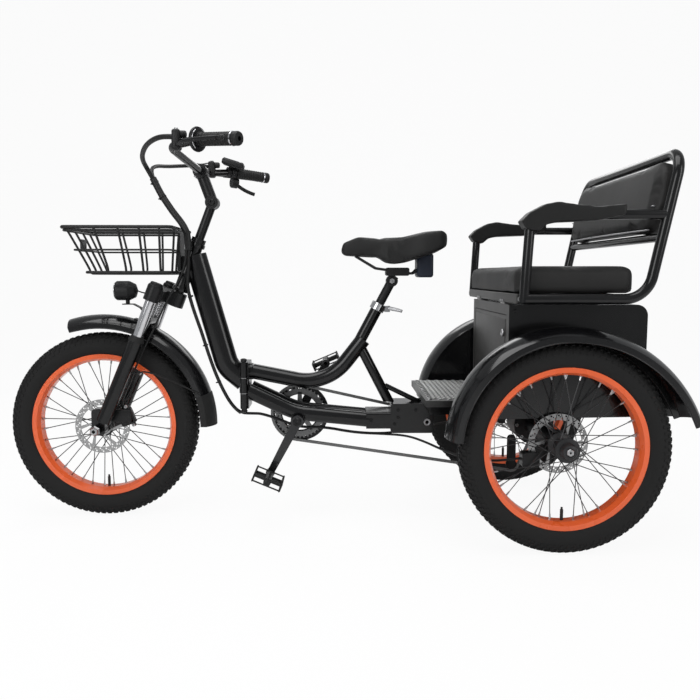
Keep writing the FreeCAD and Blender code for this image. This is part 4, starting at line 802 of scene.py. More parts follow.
bolt_head = [(0.0018, 0.0), (0.0050, 0.0), (0.0050, 0.0030), (0.0044, 0.0038), (0.0026, 0.0038),
             (0.0024, 0.0018),
             (0.0018, 0.0016)]
caliper_turn = 201.5
bolts = [("front_%d" % (end + 2), about(hubs["front"], caliper_turn, 91, end * 29, 56), (0, 1, 0),
          "steering")
         for end in (-1, 1)]
for side in (-1, 1):
    for number, (along, up) in enumerate(((62, -28), (62, -52))):
        bolts.append(("rear_%d_%d" % (side + 2, number),
                      hubs["rear_left"] + Vector((along / 1000, side * 0.262 - 0.330,
                      up / 1000)), (0, -side, 0), "chassis"))
for name, spot, along, body in bolts:
    settle(collar_on("caliper_bolt_" + name, spot, along, bolt_head, 16), body, steel, "steel")
halves = []
for name, low, high, soft in (("inner", (58, 33.5, -24), (99, 41, 24), 0.005),
                              ("outer", (56, 45, -25), (100, 56, 25), 0.006),
                              ("bridge", (84, 34, -19), (100, 55, 19), 0.005),
                              ("ears", (84, 48, -34), (98, 56, 34), 0.004)):
    half = slab("caliper_" + name, Vector(low) / 1000, Vector(high) / 1000, soft, 3)
    alone(half)
    bpy.ops.object.transform_apply(location=True)
    half.rotation_euler = (0, math.radians(caliper_turn), 0)
    half.location = hubs["front"]
    halves.append(half)
halves.append(collar_on("caliper_piston", about(hubs["front"], caliper_turn, 76, 0, 55), (0, 1, 0),
                        [(0.0005, 0.0), (0.0150, 0.0), (0.0150, 0.0070), (0.0135, 0.0090), (0.0080, 0.0090),
                         (0.0075, 0.0080), (0.0005, 0.0080)], 40))
halves.append(slab("caliper_plate", at(1184, 56, 290), at(1258, 66, 330), 0.006, 3))
settle(joined("front_caliper", halves), "steering", cast_black, "satin_black")

# The crank arms are forged and polished black, each held on the square of the spindle by a bolt.
# The chainring is stamped steel with forty teeth; a black guard ring with round windows covers it.
default_coat_roughness = 0.03
arm_black = coat("polished_black", (0.012, 0.012, 0.013), (0.030, 0.030, 0.031), (0.16, 0.12), (16.0, 4.0),
                 clear=(0.4, 0.2, default_coat_roughness), metal=0.6)
dress(arm_black, "cranks")
crank_middle = at(700, 0, 294)
cover = [(0.0030, 0.0), (0.0120, 0.0), (0.0120, 0.0025), (0.0095, 0.0050), (0.0060, 0.0050),
         (0.0055, 0.0020),
         (0.0030, 0.0020)]
for side in (-1, 1):
    settle(collar_on("crank_bolt_%d" % (side + 2), crank_middle + Vector((0, side * 0.0860, 0)),
                     (0, side, 0),
                     cover, 32), "crankset", cast_black, "satin_black")


def wedges(name, count, low, high, low_half, high_half, half_thick):
    """Tapered teeth or arms round an axle, between two radii, from half their width at each."""
    piece = fresh(name, bpy.ops.mesh.primitive_cube_add, size=1.0)
    for vertex in piece.data.vertices:
        far = vertex.co.z > 0
        vertex.co = (math.copysign(high_half if far else low_half, vertex.co.x),
                     math.copysign(half_thick, vertex.co.y), high if far else low)
    repeated(piece, count)
    return piece


tooth = wedges("ring_teeth", 40, 0.0735, 0.0808, 0.0036, 0.0011, 0.0011)
ring = spun("toothed_ring", [(0.0590, -0.0015), (0.0750, -0.0015), (0.0750, 0.0015), (0.0590, 0.0015)], 80)
arm = wedges("ring_arms", 5, 0.0120, 0.0640, 0.0090, 0.0060, 0.0015)
boss = spun("ring_boss", [(0.0088, -0.0120), (0.0190, -0.0120), (0.0200, -0.0015), (0.0200, 0.0015),
                          (0.0088, 0.0015)], 48)
toothed = joined("chainring_form", [ring, tooth, arm, boss])
smooth(toothed, 30)
toothed.location = at(700, -60, 294)
chain_steel = coat("chain_steel", (0.10, 0.10, 0.10), (0.24, 0.24, 0.24), (0.30, 0.25), (200.0, 4.0),
                   metal=0.9)
settle(toothed, "crankset", chain_steel, "steel", "chainring")
guard = spun("chain_guard", [(0.0560, -0.0010), (0.0885, -0.0010), (0.0900, 0.0), (0.0885, 0.0010),
                             (0.0560, 0.0010)], 96)
cutter = fresh("guard_windows", bpy.ops.mesh.primitive_cylinder_add, vertices=20, radius=0.0062, depth=0.01,
               location=(0, 0, 0.0715), rotation=laid)
bpy.ops.object.transform_apply()
repeated(cutter, 15)
cut_by(guard, cutter)
smooth(guard, 30)
guard.location = at(700, -67.5, 294)
settle(guard, "crankset", cast_black, "gloss_black")
dress(chain_steel, "chain", "freewheel")
dress(satin_paint, "chain_tensioner")

# The freewheel has a toothed cog; the axle's middle holds a round gear case with a ring of bolts.
# The axle tube and its case are cast and painted satin black.
tooth = wedges("freewheel_teeth", 22, 0.0412, 0.0478, 0.0038, 0.0012, 0.0011)
tooth.location = at(0, -60, 275)
settle(tooth, "chassis", chain_steel, "steel")
dress(satin_paint, "rear_axle")
for side, left in ((1, 0.048), (-1, -0.046)):
    ring = collar_on("case_bolts_%d" % (side + 2), Vector((0, 0, 0)), (0, side, 0), bolt_head, 12)
    alone(ring)
    bpy.ops.object.transform_apply(location=True, rotation=True, scale=True)
    bpy.ops.object.mode_set(mode="EDIT")
    bpy.ops.mesh.select_all(action="SELECT")
    bpy.ops.transform.translate(value=(0, 0, 0.0500))
    bpy.ops.object.mode_set(mode="OBJECT")
    repeated(ring, 8)
    ring.location = at(0, 0, 275) + Vector((0, left, 0))
    settle(ring, "chassis", steel, "steel")

# The pedals are black resin cages: two toothed rails, paired cheeks at each end and a webbed barrel.
# They hang tilted on their spindles, as pedals do; a moulded cap closes each outer end.
pedal_black = coat("pedal_resin", (0.008, 0.008, 0.008), (0.019, 0.019, 0.019), (0.30, 0.2), (500.0, 3.0),
                   (0.0002, 0.4))
crank_length = 0.171
crank_turn = math.radians(62)
pedal_half = 0.0405
pedal_tilt = math.radians(-23)
reach = Vector((crank_length * math.cos(crank_turn), 0, -crank_length * math.sin(crank_turn)))
for name, side in (("left_pedal", 1), ("right_pedal", -1)):
    low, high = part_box(name)
    middle = crank_middle + reach * side + Vector((0, side * 0.142, 0))
    wide = min(high[1] - middle[1], middle[1] - low[1])
    parts = []
    for rail in (-1, 1):
        parts.append(slab("rail", (rail * pedal_half - 0.0028, -wide, -0.0112),
                          (rail * pedal_half + 0.0028, wide, 0.0112), 0.0014, 2))
        for face in (-1, 1):
            parts.append(slab("cheek", (-pedal_half, rail * (wide - 0.003) - 0.0028,
                                        face * 0.0094 - 0.0018),
                              (pedal_half, rail * (wide - 0.003) + 0.0028, face * 0.0094 + 0.0018), 0.0010,
                              2))
        parts.append(slab("web", (-pedal_half, rail * 0.012 - 0.0022, -0.0060),
                          (pedal_half, rail * 0.012 + 0.0022, 0.0060), 0.0010, 2))
    barrel = [(0.0062, -wide), (0.0105, -wide), (0.0115, -wide * 0.5), (0.0115, wide * 0.5), (0.0105, wide),
              (0.0062, wide)]
    parts.append(spun("barrel", barrel, 32))
    smooth(parts[-1], 35)
    cage = joined(name + "_cage", parts)
    alone(cage)
    bpy.ops.object.transform_apply()
    bpy.ops.object.mode_set(mode="EDIT")
    for rail in (-pedal_half, pedal_half):
        for step in range(7):
            for face in (-1, 1):
                spot = (rail, (step - 3) * wide / 3.4, face * 0.0124)
                bpy.ops.mesh.primitive_cone_add(vertices=4, radius1=0.0034, radius2=0.0013, depth=0.0032,
                                                location=spot,
                                                rotation=(0 if face > 0 else math.pi, 0, 0.785))
    bpy.ops.object.mode_set(mode="OBJECT")
    cage.rotation_euler = (0, pedal_tilt * side, 0)
    cage.location = middle
    settle(cage, name + "_body", pedal_black, "black_plastic", name)
    cap = [(0.001, 0.0), (0.0100, 0.0), (0.0100, 0.0012), (0.0080, 0.0026), (0.001, 0.0026)]
    settle(collar_on(name + "_cap", middle + Vector((0, side * (wide - 0.0002), 0)), (0, side, 0), cap, 24),
           name + "_body", pedal_black, "black_plastic")

# The frame's joints: the fold block's hinge and latch, the headset, the seat clamp and the lower nose.
# Hinge halves and lugs are welded on; screws, washers and the quick release are bright steel.
satin_silver = coat("satin_silver", (0.30, 0.30, 0.31), (0.44, 0.44, 0.45), (0.26, 0.18),
                    (120.0, 4.0, (1.0, 1.0, 9.0)), (0.00004, 0.3), metal=1.0)
dress(satin_silver, "seat_clamp")
pin_cap = [(0.001, 0.0), (0.0090, 0.0), (0.0098, 0.0016), (0.0085, 0.0050), (0.0045, 0.0065),
           (0.001, 0.0068)]
for side, z in ((1, 469.0), (-1, 322.0)):
    settle(collar_on("fold_cap_%d" % (side + 2), at(857.75, 47, z), (0, 0, side), pin_cap, 32),
           "front_frame",
           satin_paint, "satin_black")
for number, z in enumerate((343, 366, 425, 448)):
    for side, body, x in ((1, "front_frame", 872.6), (-1, "chassis", 841.7)):
        settle(collar_on("fold_screw_%d_%d" % (number, side + 2), at(x, -20, z), (side, 0, 0), bolt_head,
                         16),
               body, satin_paint, "satin_black")
groove = [(0.0104, -0.0007), (0.0116, -0.0007), (0.0116, 0.0007), (0.0104, 0.0007)]
for number, z in enumerate((372.67, 418.33)):
    settle(collar_on("hinge_washer_%d" % number, at(857.75, 47, z), (0, 0, 1), groove, 40), "front_frame",
           steel, "steel")
bearing = [(0.0190, 0.0), (0.0236, 0.0006), (0.0240, 0.0060), (0.0236, 0.0115), (0.0190, 0.0120)]
for name, up in (("high", 137.5), ("low", 0.5)):
    settle(collar_on("head_cup_" + name, on_steering(0, 0, up), steer_up, bearing, 48), "front_frame",
           gloss_paint, "frame_paint")
ring_washer = [(0.0054, 0.0), (0.0100, 0.0), (0.0104, 0.0008), (0.0098, 0.0020), (0.0072, 0.0024),
               (0.0054, 0.0016)]
for side in (-1, 1):
    settle(collar_on("nose_ring_%d" % (side + 2), at(318, side * 50, 285), (0, side, 0), ring_washer, 32),
           "chassis", satin_silver, "bright_metal")
    for number, (x, z) in enumerate(((404, 300), (404, 322), (352, 322), (414, 280), (484, 290))):
        settle(collar_on("nose_bolt_%d_%d" % (number, side + 2), at(x, side * 50, z), (0, side, 0),
                         bolt_head, 6),
               "chassis", satin_paint, "satin_black")
seat_lean = math.radians(28)
seat_up = Vector((-math.sin(seat_lean), 0, math.cos(seat_lean)))
clamp_band = [(0.0216, -0.0130), (0.0222, -0.0125), (0.0222, 0.0065), (0.0216, 0.0070)]
settle(collar_on("clamp_band", at(461, 0, 627), seat_up, clamp_band, 48), "chassis", chrome, "bright_metal")
lever = line_of("clamp_lever", [at(430, 8, 621), at(420, 14, 620), at(404, 20, 616), at(393, 25, 612)],
                0.0048)
settle(lever, "chassis", satin_silver, "bright_metal")

# The footboard is bright aluminium tread plate, rolled with crossed raised bars, its edges folded down.
# Bare metal in use: it is brushed along its length and dulled where feet rest.
# Painted shade: the plate between the bars gets a dark metal colour for the shade and dark reflection it
# shows; the bars below are the same metal painted much lighter.
tread_metal_painted_shade, shader, place = finish_of("tread_metal_painted_shade")
brushed = place.noise(90.0, 4.0, (1.0, 7.0, 1.0))
wear = place.noise(11.0, 4.0)
feed(shader, Base_Color=brushed.mixed((0.050, 0.050, 0.049), (0.105, 0.105, 0.104)), Metallic=1.0,
     Roughness=0.30 + wear * 0.22, Normal=brushed.bump(0.00008, 0.3))
dress(tread_metal_painted_shade, "footboard")
bar_pitch = 0.027
bar = fresh("tread_bars", bpy.ops.mesh.primitive_uv_sphere_add, segments=8, ring_count=6, radius=1.0)
bar.scale = (0.0118, 0.0034, 0.0024)
bar.rotation_euler = (0, 0, math.radians(45))
bpy.ops.object.transform_apply(location=False, rotation=True, scale=True)
other = copied(bar, "other_bar", (bar_pitch / 2, 0, 0))
alone(other)
bpy.ops.object.mode_set(mode="EDIT")
bpy.ops.mesh.select_all(action="SELECT")
bpy.ops.transform.rotate(value=math.radians(90), orient_axis="Z", center_override=(0, 0, 0))
bpy.ops.object.mode_set(mode="OBJECT")
second = copied(bar, "third_bar", (bar_pitch / 2, bar_pitch / 2, 0))
third = copied(other, "fourth_bar", (-bar_pitch / 2, bar_pitch / 2, 0))
bar = joined("tread_bars", [bar, other, second, third])
bar.location = at(149, -168.8, 374.1)
for count, step in ((7, (bar_pitch, 0, 0)), (13, (0, bar_pitch, 0))):
    shaped(bar, "rows", "ARRAY", count=count, use_relative_offset=False, use_constant_offset=True,
           constant_offset_displace=step)
bpy.ops.object.shade_smooth()
# Painted highlight: the raised bars are the plate's own aluminium, made much lighter than it to stand for
# the light they catch.
bar_painted_highlight = coat("tread_bar_metal", (0.30, 0.30, 0.295), (0.48, 0.48, 0.475), (0.22, 0.2), (70.0, 4.0),
                 metal=1.0)
settle(bar, "chassis", bar_painted_highlight, "tread_plate")
for number, (x, y) in enumerate(((160, -170), (160, 170), (326, -170), (326, 170), (326, 0))):
    settle(collar_on("board_screw_%d" % number, at(x, y, 374.4), (0, 0, 1), bolt_head, 6), "chassis", steel,
           "steel")

# The locker is folded sheet steel, gloss black outside; its front and its door are painted a lighter satin
# grey, a painted highlight for the light that falls on the front.
# The door hangs on two plain hinges at its foot and has a turning lock near one upper corner.
dress(gloss_paint, "locker_box")
# Painted light: this grey on the locker's front, its door and the bench's front rail stands in for the
# light on those front faces.
lit_front_grey = coat("front_grey_painted_light", (0.030, 0.029, 0.028), (0.046, 0.045, 0.044), (0.34, 0.14), (9.0, 4.0),
                  (0.00015, 0.3), (800.0, 2.0))
dress(lit_front_grey, "locker_door")
front_face = slab("locker_front", at(127.6, -243.2, 360.2), at(128.6, 243.2, 640.2), 0.0004, 1)
cutter = fresh("doorway", bpy.ops.mesh.primitive_cube_add, size=1.0, location=at(128, 0, 502))
cutter.scale = (0.02, 0.430, 0.220)
cut_by(front_face, cutter)
settle(front_face, "chassis", lit_front_grey, "gloss_black")
panel = slab("door_panel", at(126, -205, 404), at(129.6, 205, 600), 0.0016, 3)
settle(panel, "door", lit_front_grey, "gloss_black")
lock = [(0.001, 0.0), (0.0100, 0.0), (0.0104, 0.0008), (0.0092, 0.0030), (0.0060, 0.0034), (0.0056, 0.0022),
        (0.001, 0.0022)]
settle(collar_on("door_lock", at(132.6, 191, 562), (1, 0, 0), lock, 32), "door", satin_silver,
       "bright_metal")
settle(slab("door_slot", at(133.0, 190.1, 559.5), at(135.6, 191.9, 564.5), 0.0003, 2), "door", cast_black,
       "gloss_black")
for side in (-1, 1):
    for number, (x, z) in enumerate(((112, 624), (112, 376), (-60, 376), (-226, 376))):
        settle(collar_on("locker_rivet_%d_%d" % (number, side + 2), at(x, side * 243.0, z), (0, side, 0),
                         [(0.001, 0.0), (0.0050, 0.0), (0.0042, 0.0016), (0.001, 0.0022)], 16), "chassis",
               gloss_paint, "gloss_black")

# The bench is bent steel tube, welded to four slotted brackets that are bolted to the locker's top.
# A flat pressed rail runs under the cushion's front; the brackets are zinc plated.
zinc = coat("zinc_plate", (0.34, 0.34, 0.33), (0.50, 0.50, 0.49), (0.28, 0.2), (60.0, 4.0), metal=0.95)
for number, (x, y) in enumerate(((103, -160), (103, 160), (-132, -160), (-132, 160))):
    bracket = slab("bench_bracket_%d" % number, at(x - 0.6, y - 20.6, 640.4), at(x + 24.6, y + 20.6, 643.4),
                   0.0006, 2)
    settle(bracket, "chassis", zinc, "bright_metal")
    lip = slab("bench_lip_%d" % number, at(x + 22.6, y - 20.6, 640.6), at(x + 25.2, y + 20.6, 653.0),
               0.0006, 2)
    settle(lip, "chassis", zinc, "bright_metal")
    for step in (-11, 11):
        settle(collar_on("bench_bolt_%d_%d" % (number, step + 20), at(x + 25.2, y + step, 648), (1, 0, 0),
                         bolt_head, 6), "chassis", steel, "steel")
# The rail takes the same grey, a painted highlight for the light on its front.
settle(slab("bench_front_rail", at(122, -322, 645.5), at(129.4, 322, 670.5), 0.0022, 3), "chassis",
       lit_front_grey,
       "frame_paint")

# The cushions are foam blocks in dark leather cloth, tight over rounded edges, with a seam round the rim.
# Pressure swells each one a little, so its faces crown and its sides stay upright.
vinyl, shader, place = finish_of("leather_cloth")
hide = place.node("ShaderNodeTexVoronoi", {"feature": "SMOOTH_F1"}, {"Vector": place, "Scale": 620.0})
cloud = place.noise(7.0, 5.0)
fine = place.noise(900.0, 2.0)
feed(shader, Base_Color=cloud.mixed((0.011, 0.0106, 0.0105), (0.019, 0.0185, 0.0182)),
     Roughness=0.44 + cloud * 0.16 + fine * 0.05, Normal=(hide * 0.7 + fine * 0.3).bump(0.0005, 0.45))


def likeness(name, node):
    """A free copy of a CAD node's mesh, its loose triangles merged."""
    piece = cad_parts[node].copy()
    piece.data = piece.data.copy()
    piece.name = name
    for key in list(piece.keys()):
        del piece[key]
    bpy.context.scene.collection.objects.link(piece)
    piece.parent = None
    piece.matrix_world = Matrix.Identity(4)
    alone(piece)
    bpy.ops.object.mode_set(mode="EDIT")
    bpy.ops.mesh.select_all(action="SELECT")
    bpy.ops.mesh.remove_doubles(threshold=0.00002)
    bpy.ops.object.mode_set(mode="OBJECT")
    return piece


swell_frames = 20


def grown(piece, voxel, shrink, pressure, cap, rounds=8):
    """Padded fabric: remeshed, drawn in, then blown up as cloth; no point moves further than the cap."""
    shaped(piece, "cells", "REMESH", mode="VOXEL", voxel_size=voxel)
    shaped(piece, "ease", "SMOOTH", factor=0.5, iterations=rounds)
    if shrink:
        shaped(piece, "inward", "DISPLACE", mid_level=0.0, strength=-shrink)
    if pressure:
        before = [v.co.copy() for v in piece.data.vertices]
        cloth = piece.modifiers.new("cloth", "CLOTH")
        cloth.settings.use_pressure = True
        cloth.settings.uniform_pressure_force = pressure
        cloth.settings.effector_weights.gravity = 0.0
        cloth.settings.quality = 5
        cloth.settings.tension_stiffness = 40
        cloth.settings.compression_stiffness = 40
        cloth.settings.bending_stiffness = 3
        cloth.point_cache.frame_start = 1
        cloth.point_cache.frame_end = swell_frames
        for step in range(1, swell_frames + 1):
            bpy.context.scene.frame_set(step)
        alone(piece)
        bpy.ops.object.modifier_apply(modifier="cloth")
        for vertex, start in zip(piece.data.vertices, before):
            move = vertex.co - start
            if move.length > cap:
                vertex.co = start + move * (cap / move.length)
        bpy.context.scene.frame_set(1)
    shaped(piece, "finer", "SUBSURF", levels=1, render_levels=1)
    bpy.ops.object.shade_smooth()
    return piece


def held_above(piece, low):
    """Flattens a cushion's underside where it rests."""
    for vertex in piece.data.vertices:
        vertex.co.z = max(vertex.co.z, low)


seat_low, seat_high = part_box("seat_cushion")
seat = grown(likeness("seat_pad", "seat_cushion"), 0.006, 0.0015, 3.0, 0.006)
held_above(seat, seat_low[2])
settle(seat, "chassis", vinyl, "vinyl", "seat_cushion")


def rim_line(name, corners, round_off, radius, body, finish, slot):
    """A sewn piping round a cushion: a closed cord with rounded corners."""
    points = []
    count = len(corners)
    for i in range(count):
        here, after = Vector(corners[i]), Vector(corners[(i + 1) % count])
        before = Vector(corners[i - 1])
        points += [here + (before - here).normalized() * round_off, here,
                   here + (after - here).normalized() * round_off]
    middle = (points[-1] + points[0]) / 2
    piece = line_of(name, [middle] + points + [middle], radius, 3)
    return settle(piece, body, finish, slot)


low_z = seat_low[2] + 0.012
seat_ring = [(seat_high[0], seat_low[1], low_z), (seat_high[0], seat_high[1], low_z),
             (seat_low[0], seat_high[1], low_z), (seat_low[0], seat_low[1], low_z)]
inset = 0.0100
seat_ring = [(x - math.copysign(inset, x - (seat_low[0] + seat_high[0]) / 2), y - math.copysign(inset, y),
              z)
             for x, y, z in seat_ring]
rim_line("seat_piping", seat_ring, 0.030, 0.0016, "chassis", vinyl, "vinyl")
back = grown(likeness("back_pad", "back_cushion"), 0.005, 0.0, 3.0, 0.007)
settle(back, "chassis", vinyl, "vinyl", "back_cushion")

# The back cushion is sewn across its lower third, where a thin bright strip covers the seam; the strip is
# set where it shows as the line of light along the armrest tube, a painted highlight.
# A flat plated strip also edges its foot; the strips end in the rear uprights.
back_lean = math.radians(11.5)


def on_back(out, left, up):
    """A point in millimetres on the back cushion: out from its middle, up from its foot."""
    foot_z = 812 + 11 + 0.4
    foot_x = -166 - 30 - math.tan(back_lean) * (foot_z - 658) + 2
    return at(foot_x + out * math.cos(back_lean) - up * math.sin(back_lean), left,
              foot_z + up * math.cos(back_lean) + out * math.sin(back_lean))


# Painted highlight: the upper bright strip stands in for the highlight along the top of the armrest tube.
for name, up, out, half in (("back_strip_painted_highlight", 65, 24.5, 312), ("back_foot_strip", 5, 19.5, 300)):
    strip = line_of(name, [on_back(out, -half, up), on_back(out + 4, -half / 2, up),
                           on_back(out + 5, 0, up),
                           on_back(out + 4, half / 2, up), on_back(out, half, up)], 0.0024, 3)
    settle(strip, "chassis", satin_silver, "bright_metal")
settle(line_of("back_seam", [on_back(21.5, -300, 66), on_back(24, 0, 66), on_back(21.5, 300, 66)], 0.0012,
               3),
       "chassis", vinyl, "vinyl")

# The armrests are moulded soft foam with a dished top and a blunt nose that drops over the front bend.
# Each is clipped over the bench tube, which runs in a groove along its underside.
arm_foam = coat("arm_foam", (0.005, 0.005, 0.005), (0.010, 0.0099, 0.0097), (0.36, 0.18), (9.0, 4.0),
                (0.0003, 0.5), (1100.0, 2.0))
arms = grown(likeness("arm_pads", "armrest_pads"), 0.004, 0.0, 0.0, 0.0, 7)
settle(arms, "chassis", arm_foam, "vinyl", "armrest_pads")

# The saddle is broad and sprung: foam on a moulded base, in dark cover, dished, with a rounded nose.
# A soft bumper block carries its tail, and wire rails run forward from it to the nose.
cover, shader, place = finish_of("saddle_cover")
cloud = place.noise(12.0, 4.0)
hide = place.node("ShaderNodeTexVoronoi", {"feature": "SMOOTH_F1"}, {"Vector": place, "Scale": 700.0})
feed(shader, Base_Color=cloud.mixed((0.007, 0.007, 0.0071), (0.014, 0.0139, 0.0137)),
     Roughness=0.46 + cloud * 0.18, Normal=hide.bump(0.0004, 0.4))
saddle = grown(likeness("saddle_pad", "saddle"), 0.004, 0.0, 2.0, 0.004, 26)
settle(saddle, "chassis", cover, "vinyl", "saddle")
post_top = at(461 - 100 * math.sin(seat_lean), 0, 627 + 100 * math.cos(seat_lean))


def on_saddle(ahead, left, up):
    """A point in millimetres from the top of the seat post."""
    return post_top + Vector((ahead, left, up)) / 1000


bumper = coat("bumper_rubber", (0.008, 0.011, 0.020), (0.016, 0.022, 0.038), (0.30, 0.2), (40.0, 4.0))
block = slab("saddle_bumper", on_saddle(-112, -37, -4), on_saddle(-64, 37, 66), 0.008, 5)
settle(block, "chassis", bumper, "rubber")
for side in (-1, 1):
    settle(collar_on("saddle_nut_%d" % (side + 2),
                     on_saddle(16 * math.sin(seat_lean), side * 19, -16 * math.cos(seat_lean)),
                     (0, side, 0),
                     [(0.001, 0.0), (0.0085, 0.0), (0.0085, 0.0050), (0.0070, 0.0062), (0.001, 0.0062)], 6),
           "chassis", steel, "steel")

# The bars are one bent steel tube, gloss black, held by a hinged stem with socket bolts.
# The grips are ribbed rubber sleeves with a polished end ring.
dress(gloss_paint, "handlebar")
for side in (-1, 1):
    pivot = [(0.0030, 0.0), (0.0095, 0.0), (0.0095, 0.0030), (0.0080, 0.0046), (0.0045, 0.0046),
             (0.0042, 0.0020),
             (0.0030, 0.0020)]
    settle(collar_on("stem_pivot_%d" % (side + 2), on_steering(0, side * 20, 275), (0, side, 0), pivot, 32),
           "steering", cast_black, "satin_black")
    for number, turn in enumerate((20, -70)):
        spot = on_steering(62 + 21 * math.cos(math.radians(turn)), side * 13,
                           346 + 21 * math.sin(math.radians(turn)))
        along = (spot - on_steering(62, side * 13, 346)).normalized()
        settle(collar_on("stem_bolt_%d_%d" % (number, side + 2), spot - along * 0.0015, along, bolt_head,
                         16),
               "steering", steel, "steel")
bar_middle = on_steering(62, 0, 346)


def on_bar(ahead, left, up):
    """A point in millimetres from the middle of the handlebar's clamp."""
    return bar_middle + Vector((ahead, left, up)) / 1000


def grip_line(side):
    """Where a grip starts on the bars, and the way it points."""
    start = on_bar(-48.9, side * 290, 39)
    return start, (on_bar(-152.9, side * 352, 30) - start).normalized()


grip_rubber = coat("grip_rubber", (0.007, 0.007, 0.007), (0.016, 0.016, 0.016), (0.42, 0.2), (450.0, 3.0),
                   (0.0002, 0.4))
grip_outline = [(0.0114, 0.0004), (0.0176, 0.0004), (0.0182, 0.0020), (0.0176, 0.0050), (0.0160, 0.0062)]
for rib in range(11):
    start = 0.0100 + rib * 0.0082
    grip_outline += [(0.0158, start), (0.0169, start + 0.0016), (0.0171, start + 0.0036),
                     (0.0169, start + 0.0054),
                     (0.0158, start + 0.0066)]
grip_outline += [(0.0160, 0.1020), (0.0174, 0.1035), (0.0176, 0.1120), (0.0160, 0.1158), (0.0060, 0.1165),
                 (0.0060, 0.1130), (0.0114, 0.1110)]
end_ring = [(0.0150, 0.0), (0.0179, 0.0004), (0.0182, 0.0022), (0.0179, 0.0042), (0.0150, 0.0046)]
for side in (-1, 1):
    start, along = grip_line(side)
    grip = collar_on("grip_%d" % (side + 2), start + along * 0.0140, along, grip_outline, 36)
    settle(grip, "steering", grip_rubber, "rubber", *(["grips"] if side > 0 else []))
    settle(collar_on("grip_ring_%d" % (side + 2), start + along * 0.1085, along, end_ring, 36), "steering",
           chrome, "bright_metal")

# The controls are moulded black: brake hoods with forged levers, a thumb throttle under the right grip.
# The bell sits on the left; its dome is pressed steel, blacked, with a bright rim that faces the rider.
for side in (-1, 1):
    near, far = sorted((side * 242, side * 272))
    settle(slab("brake_hood_%d" % (side + 2), at(980, near, 1034), at(1002, far, 1086), 0.0065, 5),
           "steering",
           plastic_black, "black_plastic")
    knob = [(0.0005, 0.0), (0.0095, 0.0), (0.0095, 0.0110), (0.0080, 0.0145), (0.0040, 0.0158),
            (0.0005, 0.0160)]
    settle(collar_on("hood_knob_%d" % (side + 2), at(981, side * 257, 1074), (-1, 0, 0), knob, 32),
           "steering",
           plastic_black, "black_plastic")
    settle(collar_on("lever_pivot_%d" % (side + 2), at(991, side * 261, 1085.6), (0, 0, 1), bolt_head, 16),
           "steering", steel, "steel")
    lever = [at(990, side * 268, 1046), at(968, side * 306, 1048), at(922, side * 349, 1048),
             at(858, side * 381, 1044)]
    settle(line_of("brake_lever_%d" % (side + 2), lever, 0.0045, 5), "steering", cast_black, "satin_black")
    sleeve = [at(962, side * 312, 1047.6), at(922, side * 347.5, 1047.6), at(870, side * 375.5, 1044.8)]
    settle(line_of("lever_grip_%d" % (side + 2), sleeve, 0.0056, 5), "steering", cast_black, "gloss_black")
    ball = [(0.0002, -0.0070), (0.0038, -0.0060), (0.0064, -0.0030), (0.0070, 0.0), (0.0064, 0.0030),
            (0.0038, 0.0060), (0.0002, 0.0070)]
    settle(collar_on("lever_ball_%d" % (side + 2), lever[-1], lever[-1] - lever[-2], ball, 24), "steering",
           cast_black, "satin_black")
    start, along = grip_line(side)
    clamp = [(0.0112, 0.0), (0.0168, 0.0), (0.0180, 0.0012), (0.0180, 0.0148), (0.0168, 0.0160),
             (0.0112, 0.0160)]
    settle(collar_on("control_clamp_%d" % (side + 2), start - along * 0.0040, along, clamp, 40), "steering",
           plastic_black, "black_plastic")
    if side > 0:
        dome = [(0.0150, -0.0010), (0.0270, -0.0006), (0.0302, 0.0018), (0.0312, 0.0050), (0.0302, 0.0082),
                (0.0270, 0.0098), (0.0225, 0.0104), (0.0150, 0.0106)]
        settle(collar_on("bell_dome", start - along * 0.0070, along, dome, 48), "steering", cast_black,
               "gloss_black")
        across = along.cross(Vector((0, 0, 1))).normalized()
        upward = across.cross(along)
        for number, (low_turn, high_turn, radius) in enumerate(((100, 215, 0.0262), (-60, 55, 0.0262),
                                                                (120, 200, 0.0212))):
            arc = []
            for step in range(9):
                turn = math.radians(low_turn + (high_turn - low_turn) * step / 8)
                out = across * math.cos(turn) + upward * math.sin(turn)
                arc.append(start + along * 0.0032 + out * radius)
            settle(line_of("bell_crescent_%d" % number, arc, 0.0011, 3), "steering", chrome, "bright_metal")
    else:
        ring = start + along * 0.012
        drum = [(0.0005, -0.0150), (0.0175, -0.0150), (0.0190, -0.0135), (0.0190, 0.0045), (0.0175, 0.0060),
                (0.0005, 0.0060)]
        settle(collar_on("throttle_drum", ring + Vector((0.004, -0.025, -0.028)), along, drum, 40),
               "steering",
               plastic_black, "black_plastic")
        paddle = [ring + Vector(p) / 1000 for p in ((2, -26, -34), (-24, -34, -56), (-58, -38, -66))]
        settle(line_of("throttle_paddle", paddle, 0.0060, 5), "steering", plastic_black, "black_plastic")

# The display is a small pod above the right grip, tilted to the rider, with a dark glass and three keys.
# The glass is blank and black, as it is when the power is off.
glass_black = coat("display_glass", (0.004, 0.005, 0.006), (0.010, 0.012, 0.014), (0.06, 0.08), (20.0, 3.0),
                   clear=(0.6, 0.2, default_coat_roughness))
start, along = grip_line(-1)
band_spot = start - along * 0.012
band = [(0.0112, -0.006), (0.0153, -0.006), (0.0153, 0.006), (0.0112, 0.006)]
settle(collar_on("display_band", band_spot, along, band, 32), "steering", plastic_black, "black_plastic")
pod = band_spot + Vector((-0.018, 0.022, 0.022))
settle(line_of("display_foot", [band_spot + Vector((-0.002, 0.003, 0.010)), pod], 0.0055, order=2),
       "steering", plastic_black, "black_plastic")
tilt = Matrix.Rotation(math.radians(-17), 3, "Y")
pod_parts = [("pod", (-36, -23, -10), (36, 23, 10), 0.0070, plastic_black),
             ("window", (-20, -19, 9.4), (32, 19, 10.9), 0.0007, glass_black)]
